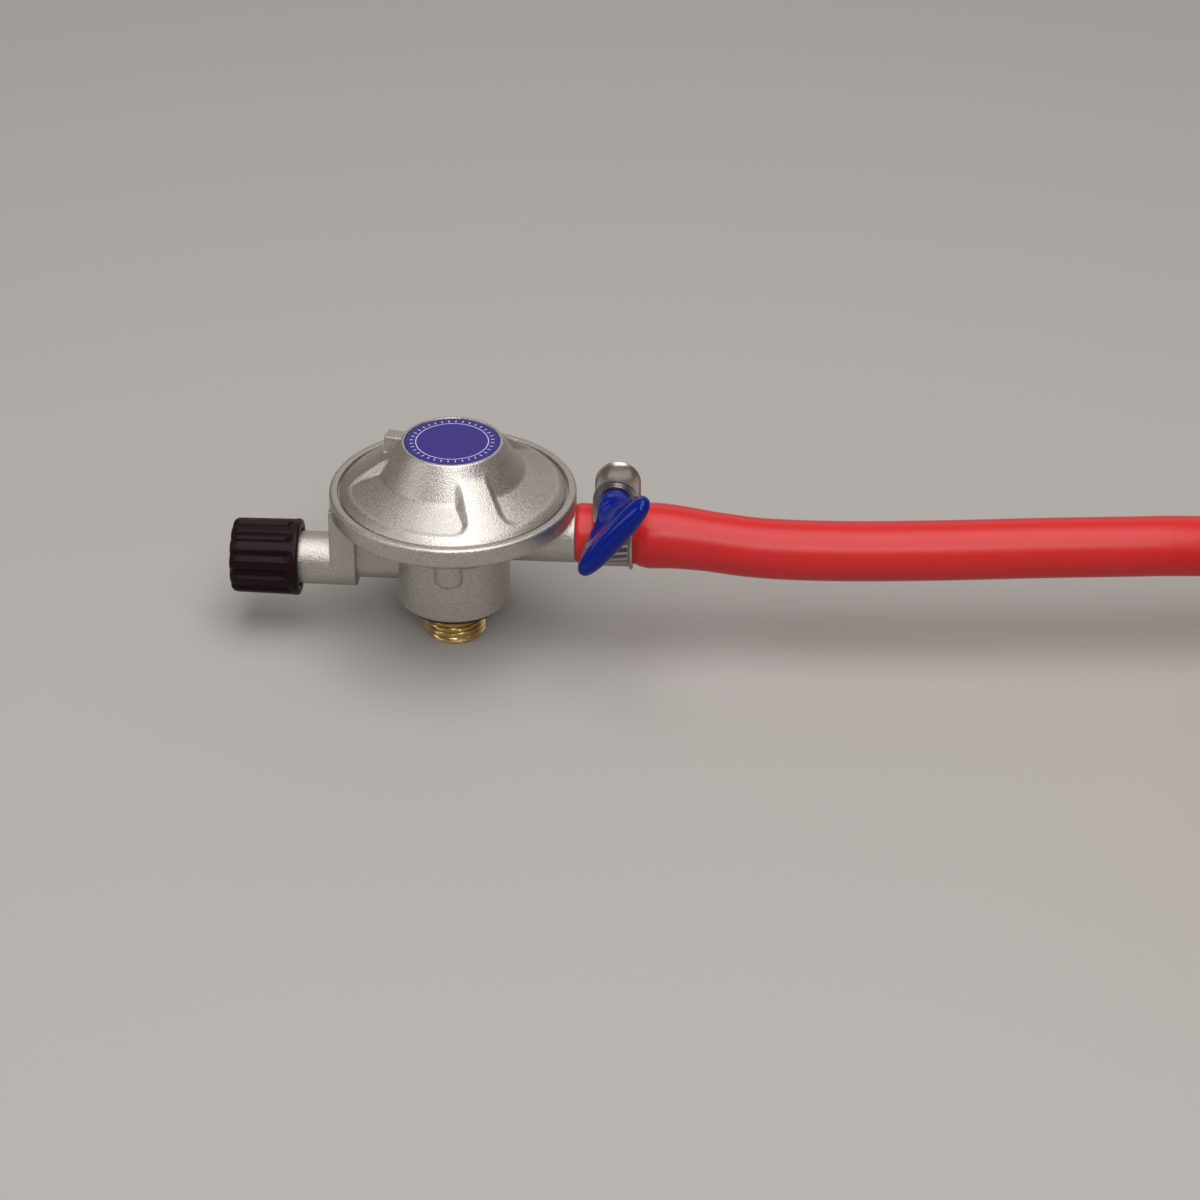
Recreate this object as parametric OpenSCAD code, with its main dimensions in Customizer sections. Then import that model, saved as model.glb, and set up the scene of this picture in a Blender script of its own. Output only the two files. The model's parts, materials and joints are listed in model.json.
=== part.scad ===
// Low-pressure gas regulator with a shut-off knob, its hose and two worm-drive hose clamps.
// Millimetres, +Z up. The origin is on the axis of the bottle thread, at the thread's free end.
// The knob points to -X, the hose leaves to +X and the clamp key faces -Y.

/* [Inlet] */
// Radius of the bottle thread
stub_r = 8; // [7.6:0.1:8.4]
// Reach of the bottle thread below the boss
stub_reach = 11; // [10:0.5:14]
// Radius of the gas bore in the stub
stub_bore_r = 3; // [2.4:0.1:3.4]
// Outer radius of the sealing washer
seal_r = 12.6; // [11.5:0.1:13.5]
// Thickness of the sealing washer
seal_t = 2; // [1.5:0.1:2.5]

/* [Body] */
// Radius of the boss above the bottle thread
boss_r = 14.7; // [14:0.1:15.5]
// Height of the boss up to the underside of the pan
pan_rise = 16.2; // [15.8:0.1:17]
// Height of the boss's end to the lower edge of the rolled rim
rim_rise = 26.5; // [26:0.1:27.5]
// Outer radius of the rolled rim
rim_r = 31.9; // [31.5:0.1:34]
// Height of the rolled rim
rim_h = 5.4; // [5:0.1:6]
// Wall of the pan and the bonnet
wall = 2; // [1.8:0.1:2.3]
// Radius of the half-round lug on the boss
lug_r = 4; // [3.5:0.1:4.5]
// Height of the lug's lower end above the boss's end
lug_rise = 11; // [9:0.5:13]

/* [Bonnet] */
// Radius of the hub's top edge
hub_r = 13; // [12.6:0.1:13.6]
// Height of the hub's top above the rolled rim
hub_rise = 13.8; // [13.4:0.1:15]
// Radius where the hub's foot meets a pocket floor
hub_foot_r = 18.5; // [18:0.1:20]
// Outer radius of the three pockets
pocket_r = 26.3; // [25.5:0.1:27]
// Width of a spoke at the hub
spoke_w = 8; // [7:0.1:10]
// Width of a spoke at the rim
spoke_rim_w = 10; // [8:0.1:14]
// Radius of the blue cover disc
disc_r = 12.1; // [11.6:0.1:12.4]
// Thickness of the blue cover disc
disc_t = 1.2; // [0.8:0.1:1.6]
// Width of the vent nub beside the hub
vent_w = 4.6; // [4:0.1:6]

/* [Regulator works] */
// Thickness of the diaphragm
diaphragm_t = 1.2; // [0.8:0.1:1.4]
// How far the diaphragm's middle hangs below its edge at rest
dish = 1.6; // [1.5:0.1:2]
// Rise of the diaphragm from open to closed
travel = 1.2; // [0.8:0.1:1.3]
// Radius of the plates on both sides of the diaphragm
plate_r = 15; // [13:0.1:16]
// Long arm of the lever, from its pin to the stem
long_arm = 9; // [8:0.1:9.5]
// Short arm of the lever, from its pin to the jet
short_arm = 5; // [4:0.1:5.2]
// Radius of the lever pin
lever_pin_r = 1; // [0.8:0.05:1.2]
// Mean radius of the main spring
spring_r = 7.6; // [7:0.1:8]
// Wire radius of the main spring
spring_wire_r = 0.8; // [0.6:0.05:0.9]
// Number of curls in the main spring
spring_curls = 4; // [3:0.5:5]

/* [Shut-off] */
// Height of the spindle's axis above the boss's end
spindle_rise = 9.4; // [9:0.1:9.8]
// Radius of the neck behind the knob
neck_r = 6.9; // [6.6:0.1:7.2]
// Distance from the boss's axis to the far side of the block
block_reach = 31.7; // [31.4:0.1:32.5]
// Thickness of the block along the spindle
block_t = 6.7; // [6.5:0.1:7]
// Half width of the web between block and boss
web_r = 4.6; // [4.2:0.1:5]
// Length of neck between block and knob
neck_gap = 8.2; // [7.5:0.1:9.5]
// Length of the knob
knob_l = 17.9; // [17:0.1:20]
// Radius of the knob at its inner end
knob_r = 10; // [9.7:0.1:11]
// Number of ribs on the knob
knob_ribs = 12; // [10:1:14]
// Radius of the spindle
spindle_r = 3; // [2.6:0.1:3.2]
// Stroke of the shut-off plunger
plunger_stroke = 2; // [1.4:0.1:2.2]

/* [Outlet and hose] */
// Height of the outlet's axis above the boss's end
outlet_rise = 19.8; // [19.6:0.1:20.6]
// Radius of the outlet arm
arm_r = 7.7; // [7.4:0.1:8]
// Distance from the boss's axis to the end of the outlet arm
arm_reach = 32; // [32:0.1:34]
// Length of the barbed nozzle
nozzle_l = 22; // [21:0.1:24]
// Outer radius of the hose
hose_r = 7.8; // [7.5:0.1:8]
// Radius of the hose's bore
hose_bore_r = 4; // [3.8:0.1:4.2]
// Radius of the hose where it goes over the last barb
hose_bulge_r = 8.5; // [8.3:0.1:8.8]
// Length of the straight end of the hose
hose_end_l = 26; // [24:0.5:30]

/* [Hose coil] */
// Radius of the coil's outer turns
coil_r = 91.5; // [90:0.5:94]
// Distance between neighbouring turns of one layer
coil_pitch = 16.1; // [16:0.1:17]
// Height of the upper layer's turns above the lower ones
coil_rise = 16.8; // [16.4:0.1:17.4]
// Number of turns in both layers
coil_turns = 2.475; // [2.425:0.025:2.5]
// Number of turns after which the spiral climbs and runs out again
coil_reverse = 1.6; // [1.55:0.05:1.65]

/* [Hose clamps] */
// Distance from the boss's axis to the middle of the clamp
clamp_x = 42.3; // [42:0.1:43]
// Width of the clamp band
band_w = 9; // [8:0.1:9.5]
// Thickness of the clamp band
band_t = 0.8; // [0.6:0.05:0.9]
// Height of the clamp screw above the hose's axis
screw_rise = 12.9; // [12.9:0.1:13.4]
// Radius of the clamp screw
worm_r = 3.9; // [3.6:0.1:4]
// Pitch of the clamp screw
worm_pitch = 2.1; // [1.9:0.1:2.4]
// Length of the clamp's housing along the screw
housing_l = 10; // [9.5:0.1:11]
// Wall of the clamp's housing
housing_t = 1.4; // [1.2:0.1:1.6]
// Reach of the key from the housing to its outer bead
key_reach = 19.7; // [18:0.1:20]
// Width of the key across its two lobes
key_w = 27; // [24:0.1:28]
// Radius of the key's outer bead
key_bead_r = 3; // [2.6:0.1:3.2]
// Angle of the key's lobes above the hose
key_angle = 53; // [0:1:90]

/* [Fits] */
// Running clearance of a turning or sliding piece
run_gap = 0.06; // [0.03:0.01:0.1]
// Clearance between pieces that don't touch
free_gap = 0.3; // [0.25:0.05:0.4]

/* [Hidden] */
$fn = 64;

// Colours
zinc = [0.62, 0.58, 0.54];
steel = [0.75, 0.75, 0.76];
brass = [0.78, 0.62, 0.32];
rubber = [0.07, 0.06, 0.06];
knob_brown = [0.1, 0.04, 0.05];
key_blue = [0.02, 0.08, 0.5];
disc_blue = [0.19, 0.14, 0.52];
hose_red = [0.82, 0.16, 0.16];

// Levels of the body
boss_z = stub_reach;
thread_l = stub_reach - seal_t - 0.3;
undercut = 0.8;
pan_z = boss_z + pan_rise;
rim_z = boss_z + rim_rise;
rim_top = rim_z + rim_h;
lip_t = 1.4;
flange_t = 1.6;
flange_z = rim_top - lip_t - flange_t;
shelf_z = flange_z - diaphragm_t;
pan_r = rim_r - 2.5;
seat_r = rim_r - 1.5;
groove_r = rim_r - 2.7;
groove_w = 0.4;
shelf_r = seat_r - 3.5;
floor_z = pan_z + wall;
floor_r = boss_r - 1.5;

// Levels of the bonnet
hub_top = rim_top + hub_rise;
hub_slope = 1.55;
crease_r = hub_r + 2.2;
crease_z = hub_top - hub_slope * (crease_r - hub_r);
pocket_wall_r = pocket_r + 0.7;
pocket_corner = 3.8;
pocket_inner_z = hub_top - hub_slope * (hub_foot_r - hub_r);
pocket_outer_z = rim_top + 1.7;
cavity_r = 10.6;
recess_z = hub_top - disc_t - 0.1;
cavity_top = recess_z - 1;
adjuster_t = 3;
adjuster_z = cavity_top - adjuster_t;
spoke_angles = [-65, 55, 175];
vent_angle = 167;
vent_h = 4;
vent_reach = crease_r + 2.2;

// Levels of the works, at rest, with the valve open
middle_z = shelf_z - dish;
plate_t = 0.8;
cup_t = 1;
lever_t = 1.2;
yoke_gap = 0.5;
yoke_r = 2.8;
neck_pin_r = 1.4;
shoulder_t = 0.8;
knuckle_r = lever_pin_r + 0.6;
lever_top = middle_z - plate_t - shoulder_t - yoke_gap;
lever_mid = lever_top - lever_t / 2;
lever_x = -long_arm;
jet_x = lever_x - short_arm;
pad_r = 2.3;
pad_t = 1.1;
jet_tip_r = 1.3;
pad_drop = travel * (short_arm + jet_tip_r) / long_arm;
jet_top = lever_top - lever_t - pad_t - pad_drop - 0.1;
jet_shaft_r = 2;
jet_hex_r = 2.6;
ear_t = 1.6;
lever_w = 5;

// The main spring stands between the cup and the adjuster
cup_top = middle_z + diaphragm_t + cup_t;
spring_low = cup_top + spring_wire_r + 0.1;
spring_high = adjuster_z - spring_wire_r - 0.1;
spring_step = (spring_high - spring_low) / spring_curls;
spring_rings = 8;
spring_points = [for (i = [0 : spring_curls * spring_rings]) let (a = 360 * i / spring_rings)
    [spring_r * cos(a), spring_r * sin(a), spring_low + spring_step * i / spring_rings]];
spring_inner_r = spring_r * cos(180 / spring_rings) - spring_wire_r;

// Shut-off
spindle_z = boss_z + spindle_rise;
chamber_r = 4.6;
seat_x = -block_reach + block_t - 1.2;
neck_end = -block_reach - neck_gap - 1.6;
knob_x = -block_reach - neck_gap;
recess_r = neck_r + 0.7;
recess_l = 7;
plunger_seal_t = 1.2;
plunger_front = seat_x - plunger_seal_t;
port_r = 1.1;
port_x = seat_x - port_r - 0.3;
feed_z = spindle_z + chamber_r + port_r + 0.1;
oring_r = 1;
gland_l = 5;
gland_face = neck_end + gland_l;
spindle_flange_t = 1;
thread_r = spindle_r - 0.8;
plunger_front_t = 0.8;
plunger_l = plunger_front - gland_face - spindle_flange_t - plunger_stroke - 2 * free_gap;

// Outlet and hose
outlet_z = boss_z + outlet_rise;
nozzle_r = hose_bore_r + 0.2;
barb_r = hose_bore_r + 0.8;
barb_l = 2.6;
gas_r = 2.9;
nozzle_end = arm_reach + nozzle_l;
barbs = [arm_reach + 6, nozzle_end - barb_l - 0.4];
cuff_end = nozzle_end + 2;
squeezed_r = hose_r - 0.4;
band_in = squeezed_r + 0.05;
band_out = band_in + band_t;

// Points along the free run of the hose, from the cuff to the coil
run_points = [
    [cuff_end, 0, outlet_z], [66, 0, 29.8], [80, 0, 28.3], [100, 0.5, 28], [125, 2, 28.4],
    [150, 4, 29], [175, 6, 29.4], [187, 7.2, 29.4], [200, 9.2, 28.3], [214, 12.4, 24.7],
    [228, 16.1, 18.6], [242, 19.6, 12.5], [255, 22, 9.1], [269, 23, hose_r]
];

// Points along the coil: a straight lead of one diameter, a spiral wound clockwise that runs in
// on the floor and out again on top of itself, and a straight tail of one diameter
loop_rings = 24;
hose_d = 2 * hose_r;
lead_x = run_points[len(run_points) - 1].x;
lead_y = run_points[len(run_points) - 1].y;
coil_x = lead_x + hose_d;
coil_y = lead_y - coil_r;
coil_steps = round(coil_turns * loop_rings);
function loop_r(t) = coil_r - coil_pitch * (t < coil_reverse ? t : 2 * coil_reverse - t);
function climb(t) = let (u = min(1, max(0, 2 * (t - coil_reverse) + 0.5))) u * u * (3 - 2 * u);
function coil_at(t) = [coil_x + loop_r(t) * sin(360 * t), coil_y + loop_r(t) * cos(360 * t),
    hose_r + coil_rise * climb(t)];
end_heading = -360 * coil_turns;
end_dir = [cos(end_heading), sin(end_heading), 0];
end_start = coil_at(coil_turns) + hose_d * end_dir;
coil_points = concat(
    [[lead_x, lead_y, hose_r]],
    [for (i = [0 : coil_steps]) coil_at(coil_turns * i / coil_steps)],
    [end_start]);
end_clamp_at = hose_end_l - band_w - 2;

// Clamps
tunnel_r = worm_r + run_gap;
housing_r = tunnel_r + housing_t;
shank_r = worm_r - 0.9;
collar_r = housing_r - 0.7;
collar_t = 0.9;
key_neck_r = 4.15;
key_neck_l = 3.5;
key_shift = 1.3;
slot_w = 1;
slot_l = band_w - 3.2;
slot_step = 360 * worm_pitch * 1.5 / (2 * PI * band_out);

// Length along a row of points
function path_length(p, i = 0) = i >= len(p) - 1 ? 0 : norm(p[i + 1] - p[i]) + path_length(p, i + 1);
// Least distance between two stretches of a row of points that lie at least half a turn apart
function least_gap(p, skip) = min([for (i = [0 : len(p) - 1 - skip], j = [i + skip : len(p) - 1])
    norm(p[i] - p[j])]);
coil_gap = least_gap(coil_points, loop_rings / 2) - hose_d;
hose_length = cuff_end - arm_reach + path_length(run_points) + path_length(coil_points) + hose_end_l;

spring_gap = least_gap(spring_points, spring_rings / 2) - 2 * spring_wire_r;
echo(coil_gap = coil_gap, spring_gap = spring_gap, hose_length = hose_length);
echo(end_clamp_centre = end_start + end_clamp_at * end_dir, hose_end = end_start + hose_end_l * end_dir);

// One ring of a tube: n points round p, square to the direction d, starting turned by a
function ring(p, d, r, n, a) = let (side = cross(d, [0, 0, 1]) / norm(cross(d, [0, 0, 1])), up = cross(side, d))
    [for (k = [0 : n - 1]) p + r * (cos(a + 360 * k / n) * side + sin(a + 360 * k / n) * up)];
function heading(p, i, first, last) = i == 0 ? first : i == len(p) - 1 ? last
    : (p[i + 1] - p[i - 1]) / norm(p[i + 1] - p[i - 1]);

// A round tube of n sides swept along a row of points, with flat ends square to first and last
module tube(p, r, n, first, last, a = 0) {
    top = (len(p) - 1) * n;
    polyhedron(
        points = [for (i = [0 : len(p) - 1]) each ring(p[i], heading(p, i, first, last), r, n, a)],
        faces = concat(
            [for (k = [1 : n - 2]) [0, k + 1, k]],
            [for (i = [0 : len(p) - 2], k = [0 : n - 1], half = [0, 1])
                let (here = i * n + k, next = i * n + (k + 1) % n)
                half == 0 ? [here, next, next + n] : [here, next + n, here + n]],
            [for (k = [1 : n - 2]) [top, top + k, top + k + 1]]));
}

// A cylinder along X from x0 to x1
module rod_x(x0, x1, r, z = 0) {
    translate([min(x0, x1), 0, z]) rotate([0, 90, 0]) cylinder(h = abs(x1 - x0), r = r);
}

// A cylinder along Y from y0 to y1
module rod_y(y0, y1, r) {
    translate([0, max(y0, y1), 0]) rotate([90, 0, 0]) cylinder(h = abs(y1 - y0), r = r);
}

// A U-shaped bar along X: round below, straight sides above
module u_bar(x0, x1, r, z, top) {
    rod_x(x0, x1, r, z);
    translate([min(x0, x1), -r, z]) cube([abs(x1 - x0), 2 * r, top - z]);
}

// Underside of the pan at a radius
function pan_under(r) = pan_z + (rim_z - pan_z) * (r - boss_r) / (pan_r - boss_r);

module lower_body() {
    block_x = -block_reach + block_t;
    lip_r = groove_r + groove_w;
    color(zinc) difference() {
        union() {
            difference() {
                union() {
                    rotate_extrude($fn = 128) polygon([
                        [0, boss_z], [boss_r - 0.5, boss_z], [boss_r, boss_z + 0.5], [boss_r, pan_z],
                        [pan_r, rim_z], [rim_r - 0.9, rim_z], [rim_r - 0.2, rim_z + 0.7], [rim_r, rim_z + 1.6],
                        [rim_r, rim_top - 1.6], [rim_r - 0.2, rim_top - 0.7], [rim_r - 0.9, rim_top], [0, rim_top]]);
                    intersection() {
                        translate([0, -boss_r + lug_r - 2, boss_z + lug_rise])
                            cylinder(h = pan_z - boss_z - lug_rise + 2, r = lug_r);
                        cylinder(h = pan_under(boss_r + 2), r = boss_r + 3);
                    }
                    u_bar(-block_reach, block_x, neck_r, spindle_z, rim_z + 1);
                    u_bar(block_x - 1, -boss_r + 1, web_r, spindle_z, pan_z + 6);
                    rod_x(0, arm_reach, arm_r, outlet_z);
                }
                rotate_extrude($fn = 128) polygon([
                    [0, floor_z], [floor_r, floor_z], [shelf_r, shelf_z], [seat_r, shelf_z],
                    [seat_r, rim_top - lip_t], [lip_r, rim_top - lip_t], [lip_r, rim_top - 0.5],
                    [lip_r + 0.5, rim_top], [lip_r + 0.5, rim_top + 1], [0, rim_top + 1]]);
            }
            rod_x(neck_end, -block_reach + 1, neck_r, spindle_z);
            rod_x(arm_reach - 1, nozzle_end, nozzle_r, outlet_z);
            for (x = barbs) translate([x, 0, outlet_z])
                rotate([0, 90, 0]) cylinder(h = barb_l, r1 = barb_r, r2 = nozzle_r);
            for (side = [-1, 1]) translate([lever_x - ear_t, side * (lever_w / 2 + free_gap + ear_t / 2)
                - ear_t / 2, floor_z - 0.5]) cube([2 * ear_t, ear_t, lever_mid + knuckle_r - floor_z + 0.5]);
        }
        translate([0, 0, boss_z - 1]) cylinder(h = 7.5, r = stub_bore_r + 3);
        translate([0, 0, boss_z]) cylinder(h = spindle_rise, r = 2);
        rod_x(seat_x - 1, 0, 2, spindle_z);
        rod_x(neck_end - 1, seat_x, chamber_r, spindle_z);
        rod_x(port_x, jet_x, port_r, feed_z);
        translate([port_x, 0, spindle_z]) cylinder(h = feed_z - spindle_z, r = port_r);
        translate([jet_x, 0, feed_z]) cylinder(h = floor_z - feed_z + 3, r = jet_shaft_r);
        translate([jet_x, 0, floor_z + 0.8]) cylinder(h = 6, r = jet_hex_r + 0.4);
        rod_x(floor_r, nozzle_end + 1, gas_r, outlet_z);
        translate([lever_x, 0, lever_mid]) rod_y(-lever_w, lever_w, lever_pin_r);
    }
}

// A pocket between two spokes, as a sector with round corners
module pocket_shape(from, to) {
    far = 2 * pocket_wall_r;
    mid = (from + to) / 2;
    offset(r = pocket_corner, $fn = 32) offset(delta = -pocket_corner) intersection() {
        circle(r = pocket_wall_r, $fn = 96);
        difference() {
            polygon([[0, 0], far * [cos(from), sin(from)], far * [cos(mid), sin(mid)],
                far * [cos(to), sin(to)]]);
            for (a = [from, to]) rotate(a) polygon([[0, -spoke_w / 2], [crease_r, -spoke_w / 2],
                [pocket_r, -spoke_rim_w / 2], [far, -spoke_rim_w / 2], [far, spoke_rim_w / 2],
                [pocket_r, spoke_rim_w / 2], [crease_r, spoke_w / 2], [0, spoke_w / 2]]);
        }
    }
}

module bonnet() {
    color(zinc) difference() {
        union() {
            rotate_extrude($fn = 128) polygon([
                [0, flange_z], [seat_r, flange_z], [seat_r, flange_z + flange_t],
                [groove_r, flange_z + flange_t], [groove_r, rim_top], [crease_r, crease_z],
                [hub_r, hub_top], [0, hub_top]]);
            rotate(vent_angle) translate([hub_r - 2, -vent_w / 2, hub_top - 0.6 - vent_h])
                cube([vent_reach - hub_r + 2, vent_w, vent_h]);
        }
        for (i = [0 : 2]) let (from = spoke_angles[i], to = from + 360 / len(spoke_angles))
            intersection() {
                translate([0, 0, rim_top - 3]) linear_extrude(hub_rise + 3) pocket_shape(from, to);
                rotate_extrude($fn = 128) polygon([
                    [hub_r, hub_top], [hub_foot_r, pocket_inner_z], [pocket_r, pocket_outer_z],
                    [pocket_wall_r + 3, pocket_outer_z], [pocket_wall_r + 3, hub_top]]);
            }
        rotate_extrude($fn = 128) polygon([
            [0, flange_z - 1], [shelf_r, flange_z - 1], [shelf_r, pocket_outer_z - wall - 1],
            [hub_foot_r - wall, pocket_inner_z - wall - 1], [cavity_r, crease_z - 4], [cavity_r, recess_z],
            [disc_r + run_gap, recess_z], [disc_r + run_gap, hub_top + 1], [0, hub_top + 1]]);
    }
}

module cover_disc() {
    color(disc_blue) translate([0, 0, recess_z])
        cylinder(h = disc_t, r = disc_r, $fn = 96);
}

module adjuster() {
    color(brass) difference() {
        translate([0, 0, adjuster_z]) cylinder(h = adjuster_t, r = cavity_r - run_gap);
        translate([0, 0, adjuster_z + 1]) cylinder(h = adjuster_t, r = 4, $fn = 6);
    }
}

module main_spring() {
    last = 360 * spring_curls;
    color(steel) tube(spring_points, spring_wire_r, 6, [0, 1, 0], [-sin(last), cos(last), 0]);
}

module spring_cup() {
    color(steel) translate([0, 0, middle_z + diaphragm_t]) difference() {
        union() {
            cylinder(h = cup_t, r = plate_r);
            cylinder(h = cup_t + 1.6, r = spring_inner_r - free_gap);
        }
        translate([0, 0, -1]) cylinder(h = cup_t + 4, r = neck_pin_r + run_gap);
    }
}

// A flat middle, one rounded fold and a flat edge that the bonnet holds down
module diaphragm() {
    fold_r = (plate_r + shelf_r) / 2;
    fold_w = (shelf_r - plate_r) / 2 - 1;
    color(rubber) rotate_extrude($fn = 96) polygon([
        [neck_pin_r + run_gap, middle_z], [plate_r + 0.5, middle_z], [fold_r - fold_w / 2, middle_z + 0.9],
        [fold_r + fold_w / 2, middle_z + 1.2], [shelf_r, shelf_z], [seat_r - 0.1, shelf_z],
        [seat_r - 0.1, flange_z], [shelf_r - 0.3, flange_z], [fold_r + fold_w / 2, middle_z + 1.2 + diaphragm_t],
        [fold_r - fold_w / 2, middle_z + 0.9 + diaphragm_t], [plate_r + 0.5, middle_z + diaphragm_t],
        [neck_pin_r + run_gap, middle_z + diaphragm_t]]);
}

// The stem goes through the plates, and its yoke holds the lever's long arm
module stem() {
    head_z = middle_z + diaphragm_t + cup_t + 1.6;
    foot_z = lever_top - lever_t - yoke_gap;
    color(brass) union() {
        translate([0, 0, foot_z - 1]) cylinder(h = head_z + 0.5 - foot_z + 1, r = neck_pin_r);
        translate([0, 0, foot_z - 1]) cylinder(h = 1, r = yoke_r);
        translate([0, 0, lever_top + yoke_gap]) cylinder(h = shoulder_t, r = yoke_r);
        translate([0, 0, head_z]) cylinder(h = 1, r = yoke_r);
    }
}

module backing_plate() {
    color(steel) translate([0, 0, middle_z - plate_t]) difference() {
        cylinder(h = plate_t, r = plate_r);
        translate([0, 0, -1]) cylinder(h = plate_t + 2, r = neck_pin_r + run_gap);
    }
}

module lever() {
    fork_w = 2 * (neck_pin_r + 0.5);
    color(brass) difference() {
        union() {
            translate([jet_x, 0, lever_top - lever_t]) cylinder(h = lever_t, r = pad_r + 0.4);
            translate([jet_x, -lever_w / 2, lever_top - lever_t])
                cube([short_arm + long_arm + 2, lever_w, lever_t]);
            translate([lever_x, 0, lever_mid]) rod_y(-lever_w / 2, lever_w / 2, knuckle_r);
        }
        translate([lever_x, 0, lever_mid]) rod_y(-lever_w, lever_w, lever_pin_r + run_gap);
        translate([0, 0, lever_top - 2 * lever_t]) cylinder(h = 3 * lever_t, r = fork_w / 2);
        translate([0, -fork_w / 2, lever_top - 2 * lever_t]) cube([10, fork_w, 3 * lever_t]);
    }
}

module lever_pin() {
    reach = lever_w / 2 + free_gap + ear_t;
    color(steel) translate([lever_x, 0, lever_mid]) rod_y(-reach, reach, lever_pin_r);
}

module valve_pad() {
    color(rubber) translate([jet_x, 0, lever_top - lever_t - pad_t]) cylinder(h = pad_t, r = pad_r);
}

module orifice_jet() {
    color(brass) difference() {
        union() {
            translate([jet_x, 0, feed_z + port_r + 0.1])
                cylinder(h = jet_top - feed_z - port_r - 0.1, r = jet_tip_r);
            translate([jet_x, 0, feed_z + port_r + 0.1])
                cylinder(h = floor_z - feed_z - port_r + 0.7, r = jet_shaft_r);
            translate([jet_x, 0, floor_z + 0.8]) cylinder(h = 1, r = jet_hex_r, $fn = 6);
        }
        translate([jet_x, 0, feed_z]) cylinder(h = jet_top, r = 0.5);
    }
}

module inlet_stub() {
    color(brass) difference() {
        union() {
            cylinder(h = thread_l, r = stub_r);
            cylinder(h = stub_reach, r = stub_r - undercut);
            cylinder(h = boss_z + 6, r = stub_bore_r + 3);
        }
        translate([0, 0, -1]) cylinder(h = boss_z + 10, r = stub_bore_r);
    }
}

module inlet_seal() {
    color(rubber) translate([0, 0, boss_z - seal_t]) difference() {
        cylinder(h = seal_t, r = seal_r);
        translate([0, 0, -1]) cylinder(h = seal_t + 2, r = stub_r + 0.05);
    }
}

module inlet_filter() {
    color(brass) translate([0, 0, 2]) cylinder(h = 3, r = stub_bore_r);
}

module knob() {
    outer_x = knob_x - knob_l;
    outer_r = knob_r - 0.3;
    groove_r = 1.5;
    color(knob_brown) difference() {
        translate([0, 0, spindle_z]) rotate([0, -90, 0]) rotate_extrude($fn = 96) polygon([
            [0, -knob_x], [knob_r - 1.2, -knob_x], [knob_r - 0.3, -knob_x + 0.3], [knob_r, -knob_x + 1.2],
            [outer_r, -outer_x - 2], [outer_r - 0.6, -outer_x - 0.6], [outer_r - 2, -outer_x], [0, -outer_x]]);
        for (i = [0 : knob_ribs - 1]) translate([0, 0, spindle_z]) rotate([i * 360 / knob_ribs, 0, 0])
            translate([0, 0, knob_r + 0.6]) rod_x(outer_x - 1, knob_x - 2.2, groove_r);
        rod_x(knob_x - recess_l, knob_x + 1, recess_r, spindle_z);
        rod_x(outer_x + 3, knob_x, spindle_r + 0.02, spindle_z);
        rod_x(outer_x - 1, outer_x + 4, 1.6, spindle_z);
        rod_x(outer_x - 1, outer_x + 1.6, 3.6, spindle_z);
    }
}

module knob_screw() {
    outer_x = knob_x - knob_l;
    color(steel) difference() {
        union() {
            rod_x(outer_x + 0.4, outer_x + 1.6, 3.2, spindle_z);
            rod_x(outer_x + 1, outer_x + 6, 1.4, spindle_z);
        }
        translate([outer_x, -0.4, spindle_z - 4]) cube([0.9, 0.8, 8]);
    }
}

// The spindle turns in the gland nut, and its inner end screws the plunger
module spindle() {
    outer_x = knob_x - knob_l;
    inner_x = plunger_front - plunger_front_t - plunger_stroke - free_gap;
    color(brass) difference() {
        union() {
            rod_x(outer_x + 3, gland_face + 0.1, spindle_r, spindle_z);
            rod_x(gland_face + 0.1, gland_face + 0.1 + spindle_flange_t, chamber_r - free_gap, spindle_z);
            rod_x(outer_x + 3, inner_x, thread_r, spindle_z);
        }
        rod_x(outer_x + 2, outer_x + 7, 1.42, spindle_z);
    }
}

module gland_nut() {
    color(brass) difference() {
        union() {
            rod_x(neck_end, gland_face, chamber_r, spindle_z);
            translate([neck_end - 2.5, 0, spindle_z]) rotate([0, 90, 0]) cylinder(h = 2.5, r = neck_r - 0.6, $fn = 6);
        }
        rod_x(neck_end - 3, gland_face + 1, spindle_r + run_gap, spindle_z);
        rod_x(neck_end + 1.4, neck_end + 1.4 + 2 * oring_r, spindle_r + oring_r, spindle_z);
    }
}

module spindle_oring() {
    color(rubber) translate([neck_end + 1.4 + oring_r, 0, spindle_z]) rotate([0, 90, 0])
        rotate_extrude() translate([spindle_r + 0.5 * oring_r + 0.04, 0]) circle(r = 0.45 * oring_r, $fn = 24);
}

module plunger() {
    color(brass) difference() {
        rod_x(plunger_front - plunger_l, plunger_front, chamber_r - run_gap, spindle_z);
        rod_x(plunger_front - plunger_l - 1, plunger_front - plunger_front_t, thread_r + run_gap, spindle_z);
        for (side = [-1, 1]) translate([plunger_front - plunger_l - 1, -chamber_r, spindle_z
            + side * chamber_r - 0.5]) cube([plunger_l + 2, 2 * chamber_r, 1]);
    }
}

module plunger_seal() {
    color(rubber) rod_x(plunger_front, seat_x - 0.02, 3.4, spindle_z);
}

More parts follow.
